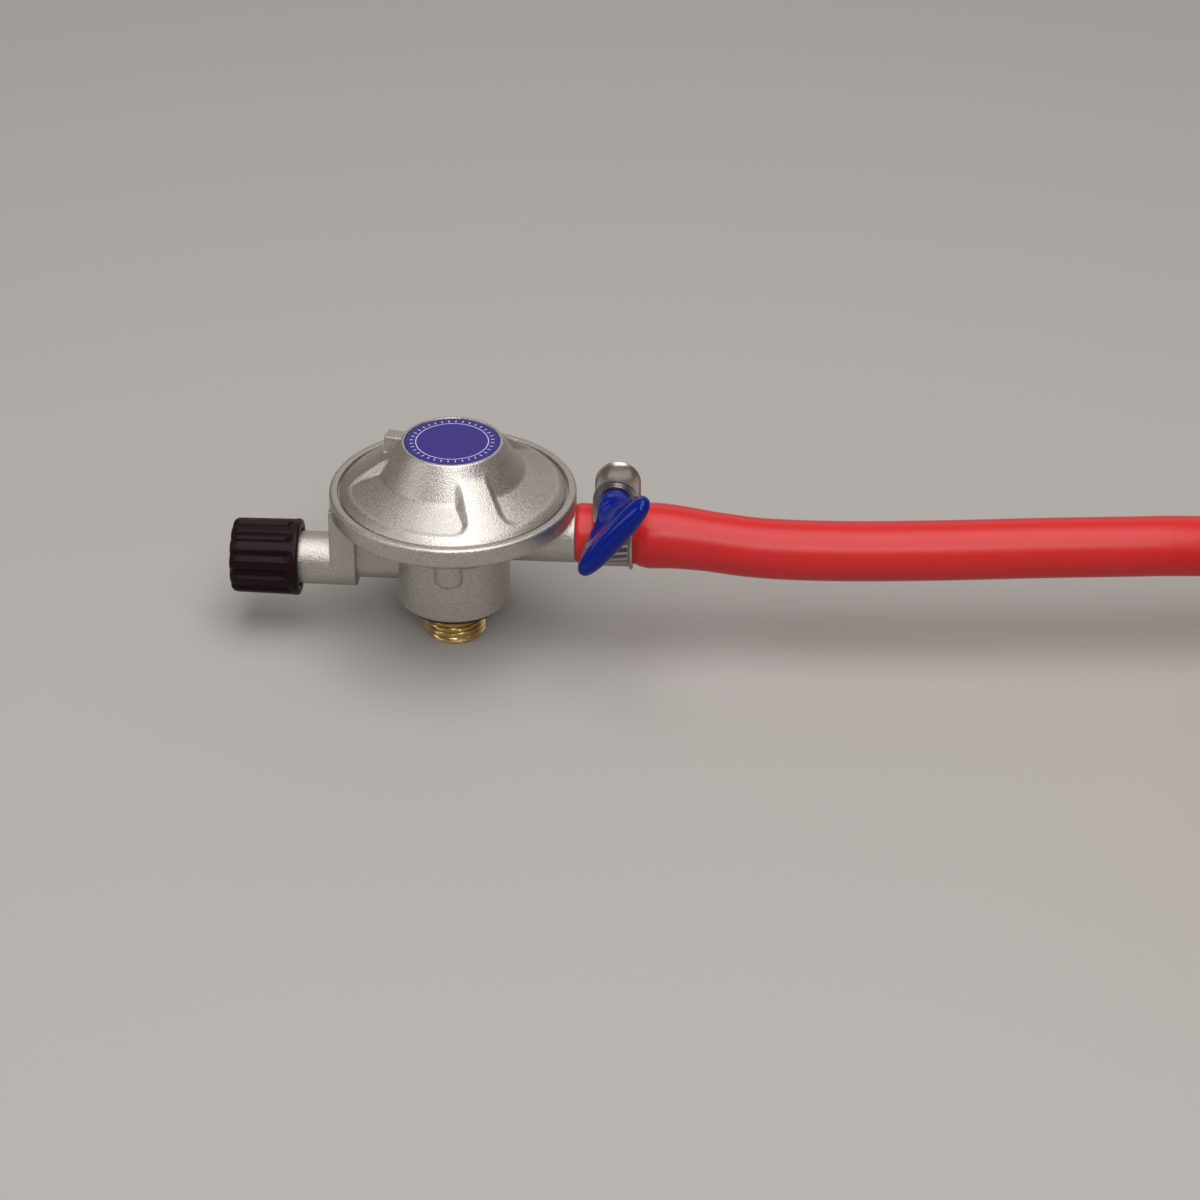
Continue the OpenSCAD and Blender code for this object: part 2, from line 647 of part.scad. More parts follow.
// The hose's first length: squeezed under the band, swollen over the last barb
module hose_cuff() {
    band_from = clamp_x - band_w / 2;
    band_to = clamp_x + band_w / 2;
    fit_r = nozzle_r + run_gap;
    tooth_r = barb_r + run_gap;
    color(hose_red) translate([0, 0, outlet_z]) rotate([0, 90, 0]) rotate_extrude($fn = 96) polygon([
        [fit_r, arm_reach], [hose_r - 0.3, arm_reach], [hose_r, arm_reach + 0.3],
        [hose_r, band_from - 1.6], [squeezed_r, band_from - 0.2], [squeezed_r, band_to + 0.2],
        [hose_r + 0.3, band_to + 1.8], [hose_bulge_r, nozzle_end - 2.2], [hose_bulge_r, nozzle_end - 1.2],
        [hose_r, cuff_end], [hose_bore_r, cuff_end], [hose_bore_r, nozzle_end], [fit_r, nozzle_end],
        [fit_r, barbs[1] + barb_l], [tooth_r, barbs[1]], [fit_r, barbs[1]],
        [fit_r, barbs[0] + barb_l], [tooth_r, barbs[0]], [fit_r, barbs[0]]]);
}

module hose_run() {
    color(hose_red) tube(run_points, hose_r, 12, [1, 0, 0], [1, 0, 0]);
}

module hose_coil() {
    color(hose_red) tube(coil_points, hose_r, 6, [1, 0, 0], end_dir, 30);
}

// Places its children at the free end of the hose, with X along the hose
module at_hose_end() {
    translate(end_start) rotate([0, 0, end_heading]) children();
}

module hose_end() {
    color(hose_red) at_hose_end() rotate([0, 90, 0]) rotate_extrude($fn = 96) polygon([
        [hose_bore_r, 0], [hose_r, 0], [hose_r, end_clamp_at - band_w / 2 - 1.2],
        [squeezed_r, end_clamp_at - band_w / 2 - 0.2], [squeezed_r, end_clamp_at + band_w / 2 + 0.2],
        [hose_r, end_clamp_at + band_w / 2 + 1.2], [hose_r, hose_end_l - 0.3], [hose_r - 0.3, hose_end_l],
        [hose_bore_r, hose_end_l]]);
}

// The clamp's pieces lie round the X axis, with the screw above it and the key towards -Y
module band() {
    color(steel) difference() {
        rod_x(-band_w / 2, band_w / 2, band_out);
        rod_x(-band_w, band_w, band_in);
        for (i = [1 : 12]) rotate([55 + i * slot_step, 0, 0])
            translate([-slot_l / 2, -slot_w / 2, band_in - 1]) cube([slot_l, slot_w, band_t + 2]);
    }
}

module housing() {
    color(steel) difference() {
        union() {
            translate([0, 0, screw_rise]) rod_y(-housing_l / 2, housing_l / 2, housing_r);
            translate([-housing_r, -housing_l / 2, band_in]) cube([2 * housing_r, housing_l, screw_rise - band_in]);
        }
        translate([0, 0, screw_rise]) rod_y(-housing_l, housing_l, tunnel_r);
        rod_x(-housing_r - 1, housing_r + 1, band_out);
    }
}

// The worm's thread is drawn as rings, and its two collars hold it in the housing
module worm() {
    half = housing_l / 2;
    rings = floor((housing_l - 1.6) / worm_pitch);
    color(steel) translate([0, 0, screw_rise]) union() {
        rod_y(-half - collar_t - key_neck_l - 1, half + collar_t, shank_r);
        rod_y(half + 0.1, half + 0.1 + collar_t, collar_r);
        rod_y(-half - 0.1 - collar_t, -half - 0.1, collar_r);
        for (i = [0 : rings]) translate([0, (i - rings / 2) * worm_pitch, 0]) rotate([90, 0, 0])
            rotate_extrude() polygon([[1, -0.7], [shank_r, -0.7], [worm_r, -0.25], [worm_r, 0.25],
                [shank_r, 0.7], [1, 0.7]]);
    }
}

// The key is a neck that widens to two lobes joined by a bead
module key() {
    start = -housing_l / 2 - 0.1 - collar_t;
    bead_y = -housing_l / 2 - key_reach;
    lobe = key_w / 2 - key_bead_r;
    color(key_blue) translate([0, 0, screw_rise]) rotate([0, -key_angle, 0]) difference() {
        union() {
            rod_y(start - key_neck_l, start, key_neck_r);
            hull() {
                rod_y(start - key_neck_l - 1, start - key_neck_l, key_neck_r - 0.3, $fn = 32);
                for (side = [-1, 1]) translate([key_shift + side * (lobe - 1.5), bead_y + 3, 0]) sphere(r = 2, $fn = 16);
            }
            hull() for (side = [-1, 1]) translate([key_shift + side * lobe, bead_y, 0]) sphere(r = key_bead_r, $fn = 20);
        }
        rod_y(start - key_neck_l - 1, start + 1, shank_r + run_gap / 2);
    }
}

module at_clamp() {
    translate([clamp_x, 0, outlet_z]) children();
}

// The key of the clamp at the free end faces the middle of the coil
module at_end_clamp() {
    at_hose_end() translate([end_clamp_at, 0, 0]) children();
}

module clamp_band() at_clamp() band();
module clamp_housing() at_clamp() housing();
module clamp_screw() at_clamp() worm();
module clamp_key() at_clamp() key();
module end_clamp_band() at_end_clamp() band();
module end_clamp_housing() at_end_clamp() housing();
module end_clamp_screw() at_end_clamp() worm();
module end_clamp_key() at_end_clamp() key();

lower_body();
bonnet();
cover_disc();
adjuster();
main_spring();
spring_cup();
diaphragm();
stem();
backing_plate();
lever();
lever_pin();
valve_pad();
orifice_jet();
inlet_stub();
inlet_seal();
inlet_filter();
knob();
knob_screw();
spindle();
gland_nut();
spindle_oring();
plunger();
plunger_seal();
hose_cuff();
hose_run();
hose_coil();
hose_end();
clamp_band();
clamp_housing();
clamp_screw();
clamp_key();
end_clamp_band();
end_clamp_housing();
end_clamp_screw();
end_clamp_key();
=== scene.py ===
# %% [markdown]
# # A gas regulator with its hose
#
# This lesson dresses a regulator for bottled gas: a die-cast body with a turning knob, a red
# rubber hose on its nozzle, and a hose clamp with a blue wing key. The hard shapes, sizes and
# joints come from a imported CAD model, which is loaded first and never moved. Every visible
# piece is then built around it, in the same frame, and rides on one of its bodies.

# %% Load the fixed frame
import json
import math
from itertools import pairwise

import bmesh
import bpy
import numpy as np
from mathutils import Matrix, Vector


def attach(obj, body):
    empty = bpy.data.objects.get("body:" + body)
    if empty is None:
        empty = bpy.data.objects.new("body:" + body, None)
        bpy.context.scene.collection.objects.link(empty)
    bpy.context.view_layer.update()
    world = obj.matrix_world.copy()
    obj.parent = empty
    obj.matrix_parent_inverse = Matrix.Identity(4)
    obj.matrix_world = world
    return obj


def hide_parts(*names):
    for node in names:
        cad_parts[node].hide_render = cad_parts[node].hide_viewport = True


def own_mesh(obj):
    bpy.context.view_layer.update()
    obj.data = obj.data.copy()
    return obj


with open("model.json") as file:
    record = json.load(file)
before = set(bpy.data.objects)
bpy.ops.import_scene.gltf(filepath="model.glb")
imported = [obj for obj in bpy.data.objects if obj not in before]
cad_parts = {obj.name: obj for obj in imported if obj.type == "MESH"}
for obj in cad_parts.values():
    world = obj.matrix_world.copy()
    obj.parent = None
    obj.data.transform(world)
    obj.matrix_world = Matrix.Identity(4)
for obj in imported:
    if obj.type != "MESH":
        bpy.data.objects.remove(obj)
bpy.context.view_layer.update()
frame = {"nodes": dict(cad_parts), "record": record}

scene = bpy.context.scene

# %% [markdown]
# ## Camera
#
# Blender counts in metres, but pieces this small are easier to read in millimetres. So sizes
# are written in millimetres from here on, and MM turns them into metres where they are used.
#
# A long lens about a metre away looks down on the regulator, so the round shapes stay true.
# The camera's own axes are written as three directions: to the right, up and forward.

# %% Camera
MM = 0.001
CAMERA_AT = Vector((94.641, -886.765, 557.770))
LOOK_RIGHT = Vector((0.9977831, 0.0664001, 0.0044587))
LOOK_FORWARD = Vector((-0.0542105, 0.8498167, -0.5242832))
LENS, FILM_WIDTH = 119.94, 36

camera = bpy.data.objects.new("camera", bpy.data.cameras.new("camera"))
scene.collection.objects.link(camera)
look_up = LOOK_RIGHT.cross(LOOK_FORWARD)
camera_axes = Matrix((LOOK_RIGHT, look_up, -LOOK_FORWARD)).transposed().to_4x4()
camera.matrix_world = Matrix.Translation(CAMERA_AT * MM) @ camera_axes
camera.data.sensor_width = FILM_WIDTH
camera.data.lens = LENS
scene.camera = camera
print("camera height:", round(camera.location.z, 3), "m")

# %% [markdown]
# ## Sums in node trees
#
# Both materials and Geometry Nodes work out numbers with Math nodes. A long sum is hard to
# read as boxes and wires, so a small class wraps a socket and lets it be added, multiplied
# and divided like a number. Each operation makes one Math node and wires it up.

# %% A socket that works like a number
class Field:
    """One output socket of a node tree."""

    def __init__(self, tree, socket):
        self.tree, self.socket = tree, socket

    def sum(self, operation, *others):
        """Any operation of the Math node, by its name."""
        node = self.tree.nodes.new("ShaderNodeMath")
        node.operation = operation
        for place, value in enumerate((self, *others)):
            connect(self.tree, value, node.inputs[place])
        return Field(self.tree, node.outputs[0])

    def __add__(self, other):
        return self.sum("ADD", other)

    def __sub__(self, other):
        return self.sum("SUBTRACT", other)

    def __mul__(self, other):
        return self.sum("MULTIPLY", other)

    def __truediv__(self, other):
        return self.sum("DIVIDE", other)

    def ramp(self, start, end, to_start=0.0, to_end=1.0):
        """Goes from to_start to to_end, softly, while this value goes from start to end."""
        node = self.tree.nodes.new("ShaderNodeMapRange")
        node.interpolation_type = "SMOOTHSTEP"
        for place, value in enumerate((self, start, end, to_start, to_end)):
            connect(self.tree, value, node.inputs[place])
        return Field(self.tree, node.outputs[0])


def connect(tree, value, socket):
    """Wires a Field into a socket, or writes a plain value there."""
    if isinstance(value, Field):
        tree.links.new(value.socket, socket)
    else:
        socket.default_value = value


def parts_of(tree, vector):
    """The x, y and z of a vector socket, as Fields."""
    node = tree.nodes.new("ShaderNodeSeparateXYZ")
    tree.links.new(vector, node.inputs[0])
    return [Field(tree, out) for out in node.outputs]


# %% [markdown]
# ## Finishes
#
# Most finishes here are one plain colour with a fine grain. A noise texture reads Object
# coordinates, so the grain sticks to the piece, and feeds two things: a slight change of the
# colour and a bump. Numbers that are the same all over are set on the shader itself.
#
# Some finishes get one thing more. The casting's roughness follows its grain too, so that it
# sparkles a little. The steel and the knob's plastic have painted shade in their pressed
# grooves: their colour is darker there, as if the grooves lay in shadow. The tree that presses
# the grooves leaves an attribute named "groove", from 0 on the plain skin to 1 at a groove's
# bottom, and the finish reads it.

# %% Noise and mixed colours
GRAIN_DETAIL = 3
COLOUR_A, COLOUR_B, COLOUR_OUT = 6, 7, 2  # a Mix node's places for colours


def noise(tree, size):
    """Noise with grains of about the given size in metres, from 0 to 1."""
    place = tree.nodes.new("ShaderNodeTexCoord")
    grain = tree.nodes.new("ShaderNodeTexNoise")
    grain.inputs["Scale"].default_value = 1 / size
    grain.inputs["Detail"].default_value = GRAIN_DETAIL
    tree.links.new(place.outputs["Object"], grain.inputs["Vector"])
    return Field(tree, grain.outputs["Fac"])


def mixed(tree, share, first, second):
    """A colour between two colours."""
    node = tree.nodes.new("ShaderNodeMix")
    node.data_type = "RGBA"
    connect(tree, share, node.inputs[0])
    for place, colour in ((COLOUR_A, first), (COLOUR_B, second)):
        value = colour if isinstance(colour, Field) else (*colour, 1)
        connect(tree, value, node.inputs[place])
    return Field(tree, node.outputs[COLOUR_OUT])


# %% Helper for a finish
GRAIN_LOW, GRAIN_HIGH = 0.25, 0.75  # most of the noise lies between these
# painted shade: the colour at a groove's bottom, as a share of the finish's own colour
PAINTED_SHADE_SHARE = 0.12


def finish(name, colour, roughness, metallic=0.0, spread=0.06, grain=0.6, bump=0.02, shine=0.5,
           uneven=0.0, groove_shade=0.0):
    """A material of one colour, with its grain and bump in millimetres."""
    material = bpy.data.materials.new(name)
    material.use_nodes = True
    tree = material.node_tree
    shader = tree.nodes["Principled BSDF"]
    shader.inputs["Metallic"].default_value = metallic
    shader.inputs["Specular IOR Level"].default_value = shine
    grains = noise(tree, grain * MM)
    rough = roughness
    if uneven:
        rough = grains.ramp(GRAIN_LOW, GRAIN_HIGH, roughness - uneven, roughness + uneven)
    connect(tree, rough, shader.inputs["Roughness"])
    dark, light = ([min(1, c * (1 + side * spread)) for c in colour] for side in (-1, 1))
    ground = mixed(tree, grains, dark, light)
    # Painted shade: the colour darkens towards a groove's bottom, as if the groove lay in shadow.
    if groove_shade:
        groove = tree.nodes.new("ShaderNodeAttribute")
        groove.attribute_name = "groove"
        share = Field(tree, groove.outputs["Fac"]) * groove_shade
        ground = mixed(tree, share, ground, [c * PAINTED_SHADE_SHARE for c in colour])
    connect(tree, ground, shader.inputs["Base Color"])
    relief = tree.nodes.new("ShaderNodeBump")
    relief.inputs["Strength"].default_value = 1
    relief.inputs["Distance"].default_value = bump * MM
    connect(tree, grains, relief.inputs["Height"])
    tree.links.new(relief.outputs["Normal"], shader.inputs["Normal"])
    material.diffuse_color = (*colour, 1)
    return material


# %% [markdown]
# All but one of the finishes differ in their numbers only. Bare metal has a metallic value
# near 1 and its colour tints what it mirrors. Rubber and plastic mirror weakly, and shine says
# how strongly. The table finds a finish by the name of its material slot in the record.

# %% The plain finishes
zinc = finish("cast_zinc", (0.50, 0.475, 0.445), roughness=0.40, metallic=0.95, spread=0.6,
              grain=0.38, bump=0.12, uneven=0.06)
# The steel gets painted shade in its grooves.
steel = finish("bright_steel", (0.43, 0.38, 0.34), roughness=0.30, metallic=1.0, spread=0.1,
               grain=0.8, bump=0.006, groove_shade=0.8)
brass = finish("turned_brass", (0.76, 0.58, 0.28), roughness=0.28, metallic=1.0, spread=0.05,
               grain=0.4, bump=0.004)
rubber = finish("black_rubber", (0.022, 0.020, 0.020), roughness=0.62, grain=0.5, bump=0.01)
# The knob's plastic gets painted shade in its grooves.
knob_plastic = finish("dark_plastic", (0.011, 0.003, 0.004), roughness=0.38, shine=0.12,
                      spread=0.15, grain=1.2, bump=0.012, groove_shade=0.4)
key_plastic = finish("blue_plastic", (0.001, 0.011, 0.19), roughness=0.12, shine=0.2,
                     spread=0.1, grain=2.5, bump=0.02)
hose_rubber = finish("red_hose", (0.55, 0.020, 0.021), roughness=0.33, shine=0.3,
                     spread=0.08, grain=2.2, bump=0.035)
SLOT_FINISH = {"zinc": zinc, "steel": steel, "brass": brass, "rubber": rubber,
               "dark_plastic": knob_plastic, "blue_plastic": key_plastic, "red_hose": hose_rubber}
print("finishes:", len(SLOT_FINISH))

# %% [markdown]
# ## The blue disc's print
#
# The disc in the hub is printed with a pale ring and a row of short strokes. Its middle lies
# on the object's own Z axis, so the print is a sum of the distance and angle round that axis.
# Each soft edge is a pair: full ink up to the first number, and none from the second on.

# %% Finish of the disc
RING_R, RING_EDGE = 9.3, (0.07, 0.13)
STROKES, STROKES_R, STROKE_EDGE, STROKE_ENDS = 36, 10.4, (0.05, 0.08), (0.42, 0.5)
PRINT_COLOUR = (0.62, 0.60, 0.74)


def printed_disc():
    """A blue finish with a pale ring and short pale strokes."""
    material = finish("printed_disc", (0.034, 0.024, 0.18), roughness=0.5, shine=0.2,
                      spread=0.05, grain=0.8, bump=0.004)
    tree = material.node_tree
    shader = tree.nodes["Principled BSDF"]
    ground = Field(tree, shader.inputs["Base Color"].links[0].from_socket)
    place = tree.nodes.new("ShaderNodeTexCoord")
    x, y, _ = parts_of(tree, place.outputs["Object"])
    radius = (x * x + y * y).sum("SQRT") / MM
    ring = (radius - RING_R).sum("ABSOLUTE").ramp(*RING_EDGE, 1, 0)
    strokes = (y.sum("ARCTAN2", x) * (STROKES / math.tau)).sum("PINGPONG", 0.5)
    in_row = (radius - STROKES_R).sum("ABSOLUTE").ramp(*STROKE_ENDS, 1, 0)
    strokes = strokes.ramp(*STROKE_EDGE, 1, 0) * in_row
    ink = (ring + strokes).sum("MINIMUM", 1.0)
    connect(tree, mixed(tree, ink, ground, PRINT_COLOUR), shader.inputs["Base Color"])
    return material


SLOT_FINISH["blue_disc"] = printed_disc()
print("finishes with the disc's:", len(SLOT_FINISH))

# %% [markdown]
# ## Hose
#
# The hose is one and a half metres long. It leaves the nozzle straight, runs out of view and
# then lies in a coil of two layers, which winds in on the floor and out again on top of
# itself. The route is the CAD model's own: listed points, then the coil by formula.

# %% Route of the hose
HOSE_D = 15.6
OUTLET = Vector((0, 0, 30.8))
RUN = [(32, 0, 30.8), (44, 0, 30.8), (56, 0, 30.8), (66, 0, 29.8), (80, 0, 28.3), (100, 0.5, 28),
       (125, 2, 28.4), (150, 4, 29), (175, 6, 29.4), (187, 7.2, 29.4), (200, 9.2, 28.3),
       (214, 12.4, 24.7), (228, 16.1, 18.6), (242, 19.6, 12.5), (255, 22, 9.1), (269, 23, 7.8)]
COIL_R, COIL_PITCH, COIL_RISE = 91.5, 16.1, 16.8
COIL_TURNS, COIL_REVERSE, TURN_POINTS = 2.475, 1.6, 24
END_LENGTH = 26


def coil_point(turn):
    """A point of the coil, after so many turns, in millimetres."""
    radius = COIL_R - COIL_PITCH * (turn if turn < COIL_REVERSE else 2 * COIL_REVERSE - turn)
    climb = min(1, max(0, 2 * (turn - COIL_REVERSE) + 0.5))  # takes half a turn
    rise = COIL_RISE * climb * climb * (3 - 2 * climb)
    angle = math.tau * turn
    return Vector((RUN[-1][0] + HOSE_D + radius * math.sin(angle),
                   RUN[-1][1] - COIL_R + radius * math.cos(angle), HOSE_D / 2 + rise))


coil_steps = round(COIL_TURNS * TURN_POINTS)
coil = [coil_point(COIL_TURNS * step / coil_steps) for step in range(coil_steps + 1)]
end_heading = -math.tau * COIL_TURNS
end_way = Vector((math.cos(end_heading), math.sin(end_heading), 0))
end_start = coil[-1] + HOSE_D * end_way
route = [Vector(p) for p in RUN] + coil + [end_start, end_start + END_LENGTH * end_way]
print("route:", round(sum((b - a).length for a, b in pairwise(route))), "mm of hose")

# %% [markdown]
# The skin needs finer steps than the route, so a Catmull-Rom curve fills in points between
# the route's own, closest together where the hose isn't equally thick: a clamp squeezes it at
# each end, and behind the clamp on the nozzle it swells over the last barb. Two tables give
# its radius by the distance from each end, and every ring takes it from the nearer end's.

# %% Smooth line and thickness of the hose
NOZZLE_STEP, FREE_STEP, END_STEP = 0.6, 3.2, 0.8
PLAIN, SQUEEZED, SWOLLEN, END_R = HOSE_D / 2, 7.4, 8.5, 7.45
NEAR_TABLE = [(0, 7.5), (0.35, PLAIN), (4.2, PLAIN), (5.6, SQUEEZED), (15.0, SQUEEZED),
              (16.6, 8.1), (18.6, SWOLLEN), (21.5, SWOLLEN), (26, 8.2), (34, PLAIN)]
END_TABLE = [(0, END_R), (0.4, PLAIN), (5.3, PLAIN), (6.6, SQUEEZED), (15.4, SQUEEZED),
             (16.7, PLAIN)]


def smooth_line(points, steps):
    """Points on a Catmull-Rom curve through the given ones, with a step for each stretch."""
    padded = [2 * points[0] - points[1], *points, 2 * points[-1] - points[-2]]
    line = []
    for before, start, end, after, step in zip(padded, padded[1:], padded[2:], padded[3:], steps):
        count = max(1, round((end - start).length / step))
        for i in range(count):
            t = i / count
            line.append(0.5 * (2 * start + (end - before) * t
                               + (2 * before - 5 * start + 4 * end - after) * t ** 2
                               + (3 * start - before - 3 * end + after) * t ** 3))
    return line + [points[-1]]


route_steps = [NOZZLE_STEP] * 2 + [FREE_STEP] * (len(route) - 4) + [END_STEP]
hose_line = smooth_line(route, route_steps)
along = np.concatenate([[0], np.cumsum([(b - a).length for a, b in pairwise(hose_line)])])
to_end = along[-1] - along
thickness = np.where(along < to_end, np.interp(along, *zip(*NEAR_TABLE)),
                     np.interp(to_end, *zip(*END_TABLE)))
print("rings along the hose:", len(hose_line), "length:", round(along[-1]), "mm")

# %% [markdown]
# ## Trees of Geometry Nodes
#
# A skin along a path, or a groove that repeats, is work for Geometry Nodes. Each tree is built
# by a function here, with a named input for each size. It ends in Realize Instances and Set
# Material, so that what comes out is real faces with their finish.

# %% Helpers for a tree
def new_tree(name, **sizes):
    """A geometry tree with a geometry in and out and one named input for each size."""
    tree = bpy.data.node_groups.new(name, "GeometryNodeTree")
    for way in ("INPUT", "OUTPUT"):
        tree.interface.new_socket("Geometry", in_out=way, socket_type="NodeSocketGeometry")
    kinds = {int: "Int", float: "Float", tuple: "Vector", bpy.types.Material: "Material"}
    for size, value in sizes.items():
        kind = "NodeSocket" + kinds[type(value)]
        tree.interface.new_socket(size, in_out="INPUT", socket_type=kind)
    source = tree.nodes.new("NodeGroupInput")
    result = tree.nodes.new("NodeGroupOutput")
    return tree, {s.name: Field(tree, s) for s in source.outputs if s.name}, result


def node(tree, kind, inputs, **settings):
    """A new node with its settings and inputs."""
    made = tree.nodes.new(kind)
    for name, value in settings.items():
        setattr(made, name, value)
    for name, value in inputs.items():
        connect(tree, value, made.inputs[name])
    return made


def end_tree(tree, result, geometry, material):
    """Ends a tree in Realize Instances and Set Material."""
    real = node(tree, "GeometryNodeRealizeInstances", {"Geometry": geometry})
    painted = node(tree, "GeometryNodeSetMaterial",
                   {"Geometry": Field(tree, real.outputs[0]), "Material": material})
    tree.links.new(painted.outputs[0], result.inputs[0])


# %% [markdown]
# A tree runs as a modifier on a piece. Its inputs are set by their sockets' identifiers, and
# the result is kept as a plain mesh, because the joints work on meshes.

# %% Helpers for a piece
def new_piece(name, points, edges=(), faces=()):
    """A new mesh object in the scene."""
    mesh = bpy.data.meshes.new(name)
    mesh.from_pydata([tuple(p) for p in points], edges, faces)
    piece = bpy.data.objects.new(name, mesh)
    scene.collection.objects.link(piece)
    return piece


def plain_mesh(piece):
    """Turns a piece with its modifiers into a plain mesh."""
    seen = piece.evaluated_get(bpy.context.evaluated_depsgraph_get())
    made = bpy.data.meshes.new_from_object(seen)
    piece.modifiers.clear()
    old = piece.data
    piece.data = made
    bpy.data.meshes.remove(old)
    made.name = piece.name
    return piece


def run_tree(piece, tree, **sizes):
    """Runs a tree on a piece with these sizes, and keeps the result as a plain mesh."""
    modifier = piece.modifiers.new("shape", "NODES")
    modifier.node_group = tree
    sockets = {s.name: s.identifier for s in tree.interface.items_tree if s.in_out == "INPUT"}
    for size, value in sizes.items():
        modifier[sockets[size]] = value
    plain_mesh(piece)


def shade(piece, angle):
    """Shades smooth, but keeps edges above the angle sharp."""
    piece.data.shade_smooth()
    piece.data.set_sharp_from_angle(angle=math.radians(angle))


# %% [markdown]
# A curve with a round bevel would be a quick hose, but it has no bore in its end. This tree
# turns the row of points into a curve, sweeps a circle along it, scales each ring by the
# point's own thickness and caps both ends. Then it sinks the bore: it picks the cap at the
# free end, adds a copy of it in place, shrinks that to the bore and pushes it in.

# %% Tree that makes a hose
CAP_REACH = 0.5


def hose_tree():
    """Sweeps a skin along points. Bore is a share of the end's radius."""
    sizes = dict(Sides=8, Bore=0.5, Depth=0.01, End=(0.0, 0.0, 0.0), Finish=hose_rubber)
    tree, size, result = new_tree("hose_along_points", **sizes)
    curve = node(tree, "GeometryNodeMeshToCurve", {"Mesh": size["Geometry"]})
    circle = node(tree, "GeometryNodeCurvePrimitiveCircle",
                  {"Resolution": size["Sides"], "Radius": 1.0})
    thick = node(tree, "GeometryNodeInputNamedAttribute", {"Name": "thickness"}, data_type="FLOAT")
    skin = node(tree, "GeometryNodeCurveToMesh",
                {"Curve": Field(tree, curve.outputs[0]),
                 "Profile Curve": Field(tree, circle.outputs[0]),
                 "Scale": Field(tree, thick.outputs["Attribute"]), "Fill Caps": True})
    place = node(tree, "GeometryNodeInputPosition", {})
    away = node(tree, "ShaderNodeVectorMath", {"Vector": Field(tree, place.outputs[0])},
                operation="DISTANCE")
    connect(tree, size["End"], away.inputs[1])
    cap = Field(tree, away.outputs["Value"]).sum("LESS_THAN", CAP_REACH * MM)
    rim = node(tree, "GeometryNodeExtrudeMesh",
               {"Mesh": Field(tree, skin.outputs[0]), "Selection": cap, "Offset Scale": 0.0,
                "Individual": False})
    inner = Field(tree, rim.outputs["Top"])
    mouth = node(tree, "GeometryNodeScaleElements",
                 {"Geometry": Field(tree, rim.outputs["Mesh"]), "Selection": inner,
                  "Scale": size["Bore"]})
    bore = node(tree, "GeometryNodeExtrudeMesh",
                {"Mesh": Field(tree, mouth.outputs[0]), "Selection": inner,
                 "Offset Scale": size["Depth"] * -1.0, "Individual": False})
    end_tree(tree, result, Field(tree, bore.outputs["Mesh"]), size["Finish"])
    return tree


# %% Make the hose
BORE_R = 4
hose = new_piece("hose", [p * MM for p in hose_line], list(pairwise(range(len(hose_line)))))
radii = hose.data.attributes.new("thickness", "FLOAT", "POINT")
radii.data.foreach_set("value", thickness * MM)
run_tree(hose, hose_tree(), Sides=32, Bore=BORE_R / END_R, Depth=END_LENGTH * MM,
         End=tuple(hose_line[-1] * MM), Finish=hose_rubber)
shade(hose, angle=50)
print("hose faces:", len(hose.data.polygons))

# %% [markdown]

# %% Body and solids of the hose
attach(hose, "regulator")
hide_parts("hose_cuff", "hose_run", "hose_coil", "hose_end")

# %% [markdown]
# ## Turned shapes
#
# Most pieces of a regulator are turned or cast round an axis. A lathe helper spins an outline
# of radius and height round the Z axis, and another helper rounds the outline's corners
# first, because no cast edge is sharp. A third number at a corner is the radius there.

# %% Outlines
SIDE_SHARE = 0.49  # a rounded corner takes less than half of the side next to it


def rounded(outline, steps=5):
    """Replaces each corner (a, b, radius) of a closed outline by a soft curve."""
    points = []
    neighbours = zip(outline[-1:] + outline[:-1], outline, outline[1:] + outline[:1])
    for (ax, ay, *_), (bx, by, *radius), (cx, cy, *_) in neighbours:
        corner = Vector((bx, by))
        if not radius:
            points.append(corner)
            continue
        to_a = Vector((ax, ay)) - corner
        to_c = Vector((cx, cy)) - corner
        reach = min(radius[0] / math.tan(to_a.angle(to_c) / 2),
                    SIDE_SHARE * to_a.length, SIDE_SHARE * to_c.length)
        start = corner + reach * to_a.normalized()
        end = corner + reach * to_c.normalized()
        for i in range(steps + 1):
            t = i / steps
            points.append((1 - t) ** 2 * start + 2 * t * (1 - t) * corner + t ** 2 * end)
    return points


def rod(radius, start, end):
    """The outline of a plain round rod."""
    return [(0, start), (radius, start), (radius, end), (0, end)]


def fine(outline, step):
    """Splits the long stretches of a closed outline."""
    points = []
    for a, b in pairwise(outline + outline[:1]):
        count = max(1, math.ceil((b - a).length / step))
        points += [a.lerp(b, i / count) for i in range(count)]
    return points


# %% The lathe
TINY = 1e-6


def lathe(name, outline, sides=96, closed=False):
    """Spins an outline of (radius, height) round Z, with one point where the radius is 0."""
    mesh = bmesh.new()
    turns = [math.tau * k / sides for k in range(sides)]
    rings = []
    for radius, height in outline:
        if radius < TINY:
            rings.append([mesh.verts.new((0, 0, height * MM))] * sides)
        else:
            places = [(radius * MM * math.cos(a), radius * MM * math.sin(a), height * MM) for a in turns]
            rings.append([mesh.verts.new(place) for place in places])
    pairs = list(pairwise(rings)) + ([(rings[-1], rings[0])] if closed else [])
    for first, second in pairs:
        for k in range(sides):
            corners = [first[k], first[(k + 1) % sides], second[(k + 1) % sides], second[k]]
            corners = list(dict.fromkeys(corners))
            if len(corners) > 2:
                mesh.faces.new(corners)
    bmesh.ops.recalc_face_normals(mesh, faces=mesh.faces)
    piece = new_piece(name, [])
    mesh.to_mesh(piece.data)
    mesh.free()
    return piece


# %% Place and dress a piece
ALONG_X = Matrix.Rotation(math.pi / 2, 4, "Y")
ALONG_MINUS_X = Matrix.Rotation(-math.pi / 2, 4, "Y")
ALONG_MINUS_Y = Matrix.Rotation(math.pi / 2, 4, "X")


def placed(piece, turn=Matrix(), at=(0, 0, 0)):
    """Turns a piece and puts it at a place in millimetres, in its mesh."""
    piece.data.transform(Matrix.Translation(Vector(at) * MM) @ turn)
    return piece


